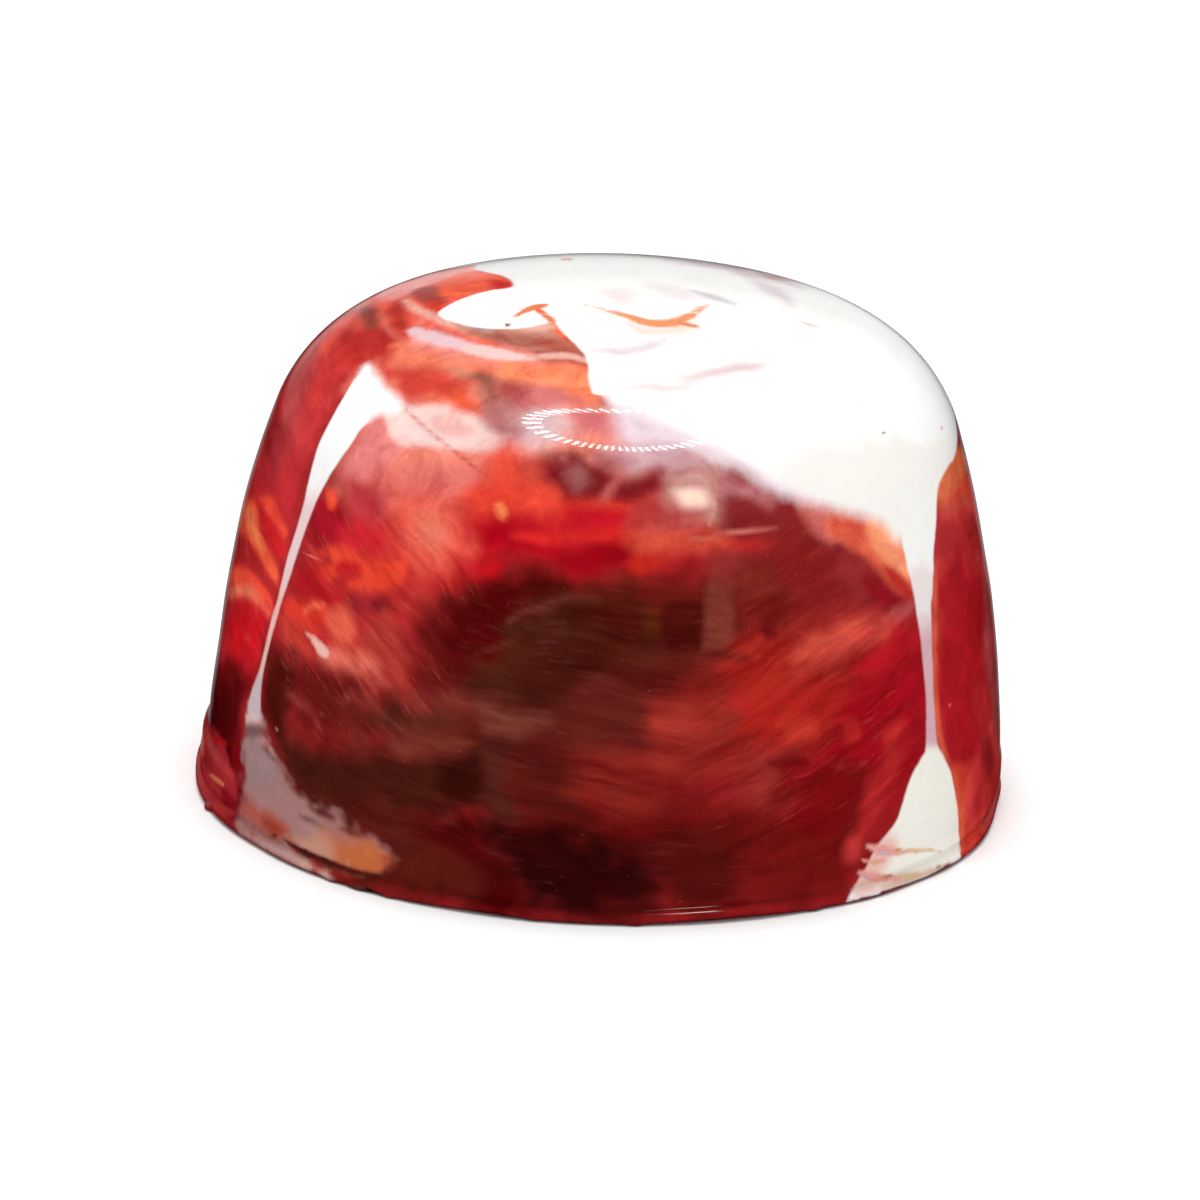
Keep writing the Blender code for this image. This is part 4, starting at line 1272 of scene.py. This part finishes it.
    def wash_far(self, target, shapes, mirrored=False):
        """Wash likenesses of the broader seen shapes in on the far side."""
        if mirrored:
            turn = math.radians(FAR_MIRROR)
            move = np.array([(math.cos(turn), math.sin(turn)), (math.sin(turn), -math.cos(turn))])
        else:
            turn = math.radians(FAR_TURN)
            move = np.array([(math.cos(turn), math.sin(turn)), (-math.sin(turn), math.cos(turn))])
        for shape in shapes:
            if shape["soft"] > FAR_SOFTEST_LEFT_OUT:
                self.wash(target, self.outline(shape, False) @ move, shape, far=True)

    def lay_all(self, layer, shapes, placed=False):
        """Lay shapes with clear edges on a coat of paint."""
        for shape in shapes:
            rows, depth = self.depth(self.outline(shape, placed), shape["soft"], shape["ragged"])
            layer.add(rows, depth, linear(shape["colour"]))

    def combed(self, turn):
        """The pull of streaks at an angle from level on the edges of soft shapes, in mm of the map."""
        surface = self.surface
        aside = surface.turn - math.radians(FRONT)
        round_way = np.arcsin(np.sin(aside)) * COMB_RADIUS
        up = surface.places[:, 2]
        lean = math.radians(turn)
        along = round_way * math.cos(lean) + up * math.sin(lean)
        across = up * math.cos(lean) - round_way * math.sin(lean)
        places = np.stack([along * COMB_STRETCH, across, 0.0 * across], axis=1)
        pull = sum(share * cloud(places, size, COMB_SEED + size) for size, share in COMB_SIZES)
        pull *= COMB_DEPTH
        level = np.stack([-np.sin(surface.turn), np.cos(surface.turn)], axis=1)
        level *= np.clip(COMB_TURNOVER * np.cos(aside), -1.0, 1.0)[:, None]
        down = np.stack([np.cos(surface.turn), np.sin(surface.turn)], axis=1)
        return pull[:, None] * (math.cos(lean) * level - math.sin(lean) * down)

    def paint(self):
        """Lay every shape."""
        fields = (self.hair, self.slant, self.fall)
        for field, near, far in zip(fields, (HAIR, SLANT, FALL), (HAIR, FALL, SLANT)):
            self.wash_far(field, far)
            self.wash_all(field, near)
        for field, (_, turn, _, _) in zip(fields, STREAKS):
            self.swirl += field * self.combed(turn)
        self.wash_all(self.ground, BACK_GROUND, placed=True)
        self.wash_far(self.ground, GROUND, mirrored=True)
        self.wash_far(self.ground, GROUND)
        self.wash_all(self.ground, GROUND)
        self.lay_all(self.marks, MARKS)
        self.lay_all(self.white, BACK_WHITES, placed=True)
        self.lay_all(self.white, WHITES)
        self.wash_all(self.white.colour, BACK_TINTS, placed=True)
        self.wash_all(self.white.colour, TINTS)
        self.lay_all(self.bits, BACK_BITS, placed=True)
        self.lay_all(self.bits, BITS)
        self.paint_underside()

    def paint_underside(self):
        """Give the flat underside its dark chocolate, with red and pale patches."""
        under = ~self.surface.outer
        places = self.surface.places[under]
        shares = []
        for noise_of, shown in (UNDERSIDE_RED_PATCHES, UNDERSIDE_PALE_PATCHES):
            shares.append(smooth_step(*shown, cloud(places, *noise_of))[:, None])
        red, pale = shares
        base = linear(UNDERSIDE) + red * (linear(UNDERSIDE_RED) - linear(UNDERSIDE))
        self.ground[under] = base + pale * (linear(UNDERSIDE_PALE) - base)

    def store(self):
        """Put the paint on the mesh as attributes for the material."""
        facing_up = np.maximum(self.normals[:, 2:], 0.0)
        light = LIGHT_ON_WALL + LIGHT_MORE_ON_TOP * facing_up ** LIGHT_GROWTH
        put_colours(self.mesh, "ground", np.minimum(self.ground / light, PALEST))
        for name, layer in (("mark", self.marks), ("white", self.white), ("bit", self.bits)):
            put_colours(self.mesh, name, np.minimum(layer.colour / light, PALEST))
            put_numbers(self.mesh, name + "_depth", layer.depth)
        for name, field in (("hair", self.hair), ("slant", self.slant), ("fall", self.fall)):
            put_numbers(self.mesh, name, field[:, 0])


def put_colours(mesh, name, colours):
    """Store a colour for every vertex."""
    attribute = mesh.attributes.new(name, "FLOAT_COLOR", "POINT")
    rows = np.concatenate([colours, np.ones((len(colours), 1))], axis=1)
    attribute.data.foreach_set("color", rows.astype(np.float32).ravel())


def put_numbers(mesh, name, numbers):
    """Store a number for every vertex."""
    attribute = mesh.attributes.new(name, "FLOAT", "POINT")
    attribute.data.foreach_set("value", numbers.astype(np.float32))


# ---------------------------------------------------------------- the material
class Nodes:
    """Short ways to add shader nodes to a material."""

    def __init__(self, material):
        self.tree = material.node_tree
        self.tree.nodes.clear()
        self.place = self.add("ShaderNodeTexCoord").outputs["Object"]

    def add(self, kind, **settings):
        """A new node with some of its settings."""
        node = self.tree.nodes.new(kind)
        for name, value in settings.items():
            setattr(node, name, value)
        return node

    def feed(self, socket, value):
        """Link a socket to an output, or give it a fixed value."""
        if isinstance(value, bpy.types.NodeSocket):
            self.tree.links.new(value, socket)
        elif isinstance(value, tuple) and len(value) == 3 and socket.type == "RGBA":
            socket.default_value = (*value, 1.0)
        else:
            socket.default_value = value

    def attribute(self, name, output):
        """One of the mesh's stored values."""
        node = self.add("ShaderNodeAttribute", attribute_name=name)
        return node.outputs[output]

    def math(self, operation, first, second=0.0):
        """A sum of one or two numbers."""
        node = self.add("ShaderNodeMath", operation=operation)
        self.feed(node.inputs[0], first)
        self.feed(node.inputs[1], second)
        return node.outputs["Value"]

    def noise(self, size, detail=3.0, rough=0.5, distortion=0.0, place=None):
        """Noise whose features are about a size in mm."""
        node = self.add("ShaderNodeTexNoise")
        self.feed(node.inputs["Vector"], place or self.place)
        self.feed(node.inputs["Scale"], 1.0 / (size * METRES))
        self.feed(node.inputs["Detail"], detail)
        self.feed(node.inputs["Roughness"], rough)
        self.feed(node.inputs["Distortion"], distortion)
        return node.outputs["Fac"]

    def ramp(self, value, low, high, to_low=0.0, to_high=1.0):
        """A value eased from one range into another."""
        node = self.add("ShaderNodeMapRange", interpolation_type="SMOOTHSTEP")
        for name, number in (("From Min", low), ("From Max", high), ("To Min", to_low), ("To Max", to_high)):
            self.feed(node.inputs[name], number)
        self.feed(node.inputs["Value"], value)
        return node.outputs["Result"]

    def add_mixed(self, share, first, second):
        """One number blended into another by a share."""
        node = self.add("ShaderNodeMix", data_type="FLOAT")
        self.feed(node.inputs["Factor"], share)
        self.feed(node.inputs["A"], first)
        self.feed(node.inputs["B"], second)
        return node.outputs["Result"]

    def mix(self, share, first, second, blend="MIX"):
        """One colour blended into another."""
        node = self.add("ShaderNodeMix", data_type="RGBA", blend_type=blend)
        self.feed(node.inputs["Factor"], share)
        sockets = [socket for socket in node.inputs if socket.type == "RGBA"]
        self.feed(sockets[0], first)
        self.feed(sockets[1], second)
        return next(socket for socket in node.outputs if socket.type == "RGBA")

    def vector(self, operation, *values):
        """A sum of vectors."""
        node = self.add("ShaderNodeVectorMath", operation=operation)
        for socket, value in zip(node.inputs, values):
            self.feed(socket, value)
        return node.outputs["Vector"]

    def stretched(self, place, turn, sizes):
        """Places turned about the front's direction and stretched along the streaks."""
        node = self.add("ShaderNodeMapping")
        self.feed(node.inputs["Vector"], place)
        self.feed(node.inputs["Rotation"], (0.0, math.radians(turn), 0.0))
        return self.vector("MULTIPLY", node.outputs["Vector"], sizes)


def colour_of(seen):
    """A colour as it is seen, for a shader's socket."""
    return tuple(float(channel) for channel in linear(seen))


def marbled_ground(make):
    """The painted ground: faintly mottled where the chocolate lay still, and streaky where it was drawn."""
    ground = make.attribute("ground", "Color")
    wave = make.add("ShaderNodeTexNoise")
    make.feed(wave.inputs["Vector"], make.place)
    make.feed(wave.inputs["Scale"], 1.0 / (STREAK_WAVE_SIZE * METRES))
    make.feed(wave.inputs["Detail"], 2.0)
    bent = make.vector("MULTIPLY_ADD", wave.outputs["Color"], (STREAK_WAVE_DEPTH * METRES,) * 3, make.place)
    grain = make.ramp(make.noise(GRAIN_SIZE, 2.0), *GRAIN_RANGE)
    unevenness = make.ramp(make.noise(CLOUD_SIZE, 6.0, 0.6, 0.8), *CLOUD_RANGE)
    fields = []
    for field, turn, pale, dark in STREAKS:
        mask = make.attribute(field, "Fac")
        drawn = make.stretched(bent, turn, STREAK_STRETCH)
        bands = make.ramp(make.noise(BAND_SIZE, 6.0, 0.62, place=drawn), *BAND_RANGE)
        unevenness = make.add_mixed(mask, unevenness, bands)
        fields.append((mask, make.noise(STREAK_WIDTH, 3.0, 0.55, place=drawn), pale, dark))
    unevenness = make.math("ADD", unevenness, grain)

    # Its pale parts are the calmest.
    parts = make.add("ShaderNodeSeparateColor")
    make.feed(parts.inputs["Color"], ground)
    unevenness = make.math("MULTIPLY", unevenness, make.ramp(parts.outputs["Green"], *CALM_RANGE))
    shade = make.add("ShaderNodeCombineColor")
    for channel, growth in CHANNEL_GROWTH:
        amount = make.math("ADD", make.math("MULTIPLY", unevenness, growth), 1.0)
        make.feed(shade.inputs[channel], make.math("MAXIMUM", amount, DARKEST_SHADE))
    ground = make.mix(1.0, ground, shade.outputs["Color"], "MULTIPLY")

    # Single hairs over it: a paler and a darker set for each field of streaks.
    for mask, hairs, pale, dark in fields:
        mask = make.math("MULTIPLY", mask, make.ramp(make.noise(HAIR_CLUMP_SIZE), *HAIR_CLUMP_RANGE))
        for tone, span in ((pale, PALE_HAIR_RANGE), (dark, DARK_HAIR_RANGE)):
            share = make.math("MULTIPLY", make.ramp(hairs, *span), mask)
            ground = make.mix(share, ground, colour_of(tone))
    specks = make.ramp(make.noise(SPECK_SIZE, 2.0), *SPECK_RANGE)
    return make.mix(specks, ground, colour_of(SPECK_COLOUR))


def coated(make, colour):
    """The clearer coats over a colour: marks, then white chocolate, then bits, and where the bits are."""
    fine = make.math("SUBTRACT", make.noise(FINE_EDGE_SIZE), 0.5)
    broken = make.math("SUBTRACT", make.noise(BROKEN_EDGE_SIZE, 5.0, 0.6, 0.4), 0.5)
    ragged = make.math("ADD", fine, make.math("MULTIPLY", broken, BROKEN_EDGE_SHARE))
    stains = make.ramp(make.noise(STAIN_SIZE, 4.0, 0.6, 0.8), *STAIN_RANGE)
    for coat, raggedness in COATS:
        depth = make.math("ADD", make.attribute(coat + "_depth", "Fac"),
            make.math("MULTIPLY", ragged, raggedness))
        cover = make.ramp(depth, -1.0, 1.0)
        paint = make.attribute(coat, "Color")
        if coat == "white":
            paint = make.mix(stains, paint, colour_of(STAIN_COLOUR))
        colour = make.mix(cover, colour, paint)
    return colour, cover


def chocolate():
    """Shiny marbled chocolate: the painted colours, broken up by grain, streaks and specks."""
    material = bpy.data.materials.new("marbled_chocolate")
    material.use_nodes = True
    make = Nodes(material)
    colour, bits = coated(make, marbled_ground(make))

    # Gloss: a little uneven, and duller on the bits.
    rough = make.ramp(make.noise(SMEAR_SIZE, 4.0, 0.6, 0.5), *SMEAR_RANGE)
    rough = make.math("ADD", rough, make.math("MULTIPLY", bits, BITS_ROUGHER))
    dimples = make.math("MULTIPLY", make.noise(DIMPLE_SIZE, 3.0, 0.55), DIMPLE_SHARE)
    swells = make.math("MULTIPLY", make.noise(SWELL_SIZE, 2.0), SWELL_SHARE)
    relief = make.math("ADD", dimples, swells)
    relief = make.math("ADD", relief, make.math("MULTIPLY", bits, BITS_SHARE))
    bump = make.add("ShaderNodeBump")
    make.feed(bump.inputs["Strength"], RELIEF_STRENGTH)
    make.feed(bump.inputs["Distance"], RELIEF_HEIGHT * METRES)
    make.feed(bump.inputs["Height"], relief)

    shader = make.add("ShaderNodeBsdfPrincipled")
    make.feed(shader.inputs["Base Color"], colour)
    make.feed(shader.inputs["Roughness"], rough)
    make.feed(shader.inputs["Normal"], bump.outputs["Normal"])
    shader.inputs["IOR"].default_value = REFRACTION
    shader.inputs["Specular IOR Level"].default_value = SPECULAR_LEVEL
    shader.inputs["Coat Weight"].default_value = COAT_WEIGHT
    shader.inputs["Coat Roughness"].default_value = COAT_ROUGHNESS
    output = make.add("ShaderNodeOutputMaterial")
    make.feed(output.inputs["Surface"], shader.outputs["BSDF"])
    return material


def flat_material(name, colour):
    """A plain matt material for the floor, with a faint grain."""
    material = bpy.data.materials.new(name)
    material.use_nodes = True
    make = Nodes(material)
    grain = make.noise(FLOOR_GRAIN_SIZE, 4.0)
    shader = make.add("ShaderNodeBsdfPrincipled")
    darker = tuple(channel * FLOOR_GRAIN_SHADE for channel in colour)
    make.feed(shader.inputs["Base Color"], make.mix(make.ramp(grain, 0.3, 0.7), colour, darker))
    make.feed(shader.inputs["Roughness"], make.ramp(grain, 0.3, 0.7, *FLOOR_ROUGHNESS))
    output = make.add("ShaderNodeOutputMaterial")
    make.feed(output.inputs["Surface"], shader.outputs["BSDF"])
    return material


# ---------------------------------------------------------------- the stage and the light
def make_floor():
    """A pale, round floor, which the gloss doesn't mirror."""
    mesh = bpy.data.meshes.new("floor")
    turns = np.radians(np.arange(0.0, 360.0, 5.0))
    rim = [(FLOOR_RADIUS * math.cos(turn), FLOOR_RADIUS * math.sin(turn), 0.0) for turn in turns]
    mesh.from_pydata(rim, [], [tuple(range(len(rim)))])
    mesh.materials.append(flat_material("pale_floor", FLOOR_COLOUR))
    floor = bpy.data.objects.new("floor", mesh)
    bpy.context.scene.collection.objects.link(floor)
    floor.visible_glossy = False


def make_dome(name, radius, camera, glossy):
    """A large sphere round the stage that glows, for the camera or for reflections alone."""
    mesh = bpy.data.meshes.new(name)
    form = bmesh.new()
    bmesh.ops.create_uvsphere(form, u_segments=32, v_segments=16, radius=radius)
    form.to_mesh(mesh)
    form.free()
    material = bpy.data.materials.new(name)
    material.use_nodes = True
    mesh.materials.append(material)
    dome = bpy.data.objects.new(name, mesh)
    bpy.context.scene.collection.objects.link(dome)
    material.cycles.emission_sampling = "NONE"
    dome.visible_camera = camera
    dome.visible_glossy = glossy
    dome.visible_diffuse = False
    dome.visible_shadow = False
    return Nodes(material)


def make_glow(make, strength, colour=WHITE_LIGHT):
    """Let a material glow."""
    emission = make.add("ShaderNodeEmission")
    make.feed(emission.inputs["Color"], colour)
    make.feed(emission.inputs["Strength"], strength)
    output = make.add("ShaderNodeOutputMaterial")
    make.feed(output.inputs["Surface"], emission.outputs["Emission"])


def with_ring_lamp(make, glow, across, back, up):
    """A glow with the ring lamp: two staggered rows of bright dots round a point nearly overhead."""
    across = make.math("SUBTRACT", across, RING_LEAN[0])
    back = make.math("SUBTRACT", back, RING_LEAN[1])
    squares = make.math("ADD", make.math("POWER", across, 2.0), make.math("POWER", back, 2.0))
    from_top = make.math("ARCTAN2", make.math("SQRT", squares), up)
    turn = make.math("ARCTAN2", back, across)
    gathered = make.math("MULTIPLY", make.math("SINE", make.math("MULTIPLY", turn, 2.0)), RING_GATHERED)
    turn = make.math("SUBTRACT", turn, gathered)
    row_edge = math.radians(RING_ROW_HALF_WIDTH)
    row_core = math.radians(RING_ROW_HALF_WIDTH * RING_ROW_CORE)
    lamps = 0.0
    for row_angle, start in RING_ROWS:
        away = make.math("ABSOLUTE", make.math("SUBTRACT", from_top, math.radians(row_angle)))
        row = make.ramp(away, row_edge, row_core)
        wave = make.math("SINE", make.math("ADD", make.math("MULTIPLY", turn, RING_LAMPS), start))
        lamps = make.math("ADD", lamps, make.math("MULTIPLY", row, make.ramp(wave, *RING_LAMP_EDGE)))
    return make.math("ADD", glow, make.math("MULTIPLY", lamps, RING_GLOW))


def with_softbox(make, glow, unit, axes):
    """A glow with the softbox in front, and the share of its brighter middle."""
    middle, aside, along = axes

    def towards(axis):
        dot = make.add("ShaderNodeVectorMath", operation="DOT_PRODUCT")
        make.feed(dot.inputs[0], unit)
        make.feed(dot.inputs[1], tuple(axis))
        return dot.outputs["Value"]

    offsets = []
    for axis in (aside, along):
        offsets.append(make.math("ABSOLUTE", make.math("SUBTRACT", towards(axis), axis.dot(middle))))
    this_side = make.math("GREATER_THAN", towards(middle), 0.0)
    for halves, edge, strength in SOFTBOX_PARTS:
        across, upwards = [make.ramp(offset, half * (1 + edge), half * (1 - edge))
            for offset, half in zip(offsets, halves)]
        part = make.math("MULTIPLY", make.math("MULTIPLY", across, upwards), this_side)
        glow = make.math("ADD", glow, make.math("MULTIPLY", part, strength))
    return glow, part


def make_surroundings(softbox_axes):
    """A white backdrop for the camera, and the studio as the gloss mirrors it, dark in front and low."""
    make_glow(make_dome("backdrop", BACKDROP_RADIUS, camera=True, glossy=False), 1.0)
    make = make_dome("surroundings", SURROUNDINGS_RADIUS, camera=False, glossy=True)
    unit = make.vector("NORMALIZE", make.place)
    place = make.add("ShaderNodeSeparateXYZ")
    make.feed(place.inputs["Vector"], unit)
    across, back, up = place.outputs["X"], place.outputs["Y"], place.outputs["Z"]
    glow = make.math("MULTIPLY", make.ramp(up, *GLOW_HORIZON), make.ramp(back, *GLOW_BEHIND))
    glow = make.math("MULTIPLY", glow, make.ramp(up, *GLOW_OVERHEAD))
    glow = make.math("MULTIPLY", glow, make.ramp(make.math("ABSOLUTE", across), *GLOW_ASIDE))
    table = make.math("MULTIPLY", make.ramp(back, *GLOW_TABLE), make.ramp(up, *GLOW_TABLE_HEIGHT))
    glow = make.math("MAXIMUM", glow, table)
    glow = with_ring_lamp(make, glow, across, back, up)
    glow, warm = with_softbox(make, glow, unit, softbox_axes)
    make_glow(make, glow, make.mix(warm, WHITE_LIGHT, SOFTBOX_COLOUR))


def make_world():
    """An even, white light from all round, which the gloss doesn't mirror."""
    world = bpy.data.worlds.new("studio")
    world.use_nodes = True
    background = world.node_tree.nodes["Background"]
    background.inputs["Color"].default_value = (1.0, 1.0, 1.0, 1.0)
    background.inputs["Strength"].default_value = WORLD_STRENGTH
    world.cycles_visibility.glossy = False
    bpy.context.scene.world = world


def make_light():
    """The soft light overhead, which the gloss doesn't mirror."""
    data = bpy.data.lights.new("top_light", "AREA")
    data.energy = TOP_LIGHT_POWER
    data.shape = "DISK"
    data.size = TOP_LIGHT_SIZE
    light = bpy.data.objects.new("top_light", data)
    light.location = (0.0, 0.0, TOP_LIGHT_HEIGHT)
    light.visible_glossy = False
    bpy.context.scene.collection.objects.link(light)


def axes_of_mirrored(painter, pixel):
    """Where the praline mirrors at a pixel, and the directions aside and upwards from there."""
    ray = Vector(painter.camera.ray(pixel)).normalized()
    _, normal, _, _ = painter.tree.ray_cast(Vector(painter.camera.place), ray)
    middle = ray.reflect(normal)
    aside = middle.cross(Vector((0.0, 0.0, 1.0))).normalized()
    return middle, aside, aside.cross(middle)


def add_bake_map(mesh, surface):
    """The UV map for baked colours: the outer skin as a disc, the underside as a small one beside it."""
    outer_share = np.clip(surface.down / surface.outer_length, 0.0, 1.0) * BAKE_OUTER_RADIUS
    under_share = np.hypot(surface.places[:, 0], surface.places[:, 1]) / BAKE_UNDER_SPAN * BAKE_UNDER_RADIUS
    turned = np.stack([np.cos(surface.turn), np.sin(surface.turn)], axis=1)
    outer = 0.5 + outer_share[:, None] * turned
    under_turn = np.arctan2(surface.places[:, 1], surface.places[:, 0])
    under_turned = np.stack([np.cos(under_turn), np.sin(under_turn)], axis=1)
    under = BAKE_UNDER_RADIUS + BAKE_GAP + under_share[:, None] * under_turned
    loops = np.empty(len(mesh.loops), dtype=np.int64)
    mesh.loops.foreach_get("vertex_index", loops)
    sizes = np.empty(len(mesh.polygons), dtype=np.int64)
    mesh.polygons.foreach_get("loop_total", sizes)
    starts = np.concatenate([[0], np.cumsum(sizes)[:-1]])
    lowest = np.minimum.reduceat(surface.outer[loops].astype(int), starts)
    on_top = np.repeat(lowest, sizes).astype(bool)
    uv = np.where(on_top[:, None], outer[loops], under[loops])
    layer = mesh.uv_layers.new(name="OFBake")
    layer.data.foreach_set("uv", uv.astype(np.float32).ravel())


def make_praline():
    """The praline's finely divided skin in its paint, riding in the solid's place."""
    surface = Surface()
    mesh = surface.mesh("praline_skin")
    add_bake_map(mesh, surface)
    painter = Painter(surface, Camera(), mesh)
    painter.paint()
    painter.store()
    mesh.materials.append(chocolate())
    skin = bpy.data.objects.new("praline_skin", mesh)
    bpy.context.scene.collection.objects.link(skin)
    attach(skin, "root")
    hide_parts("praline")
    return painter


def main():
    """Build the praline, the camera, the stage and the light."""
    painter = make_praline()
    painter.camera.make()
    make_floor()
    make_surroundings(axes_of_mirrored(painter, SOFTBOX_SEEN))
    make_world()
    make_light()
    bpy.context.scene.view_settings.view_transform = "Standard"


main()
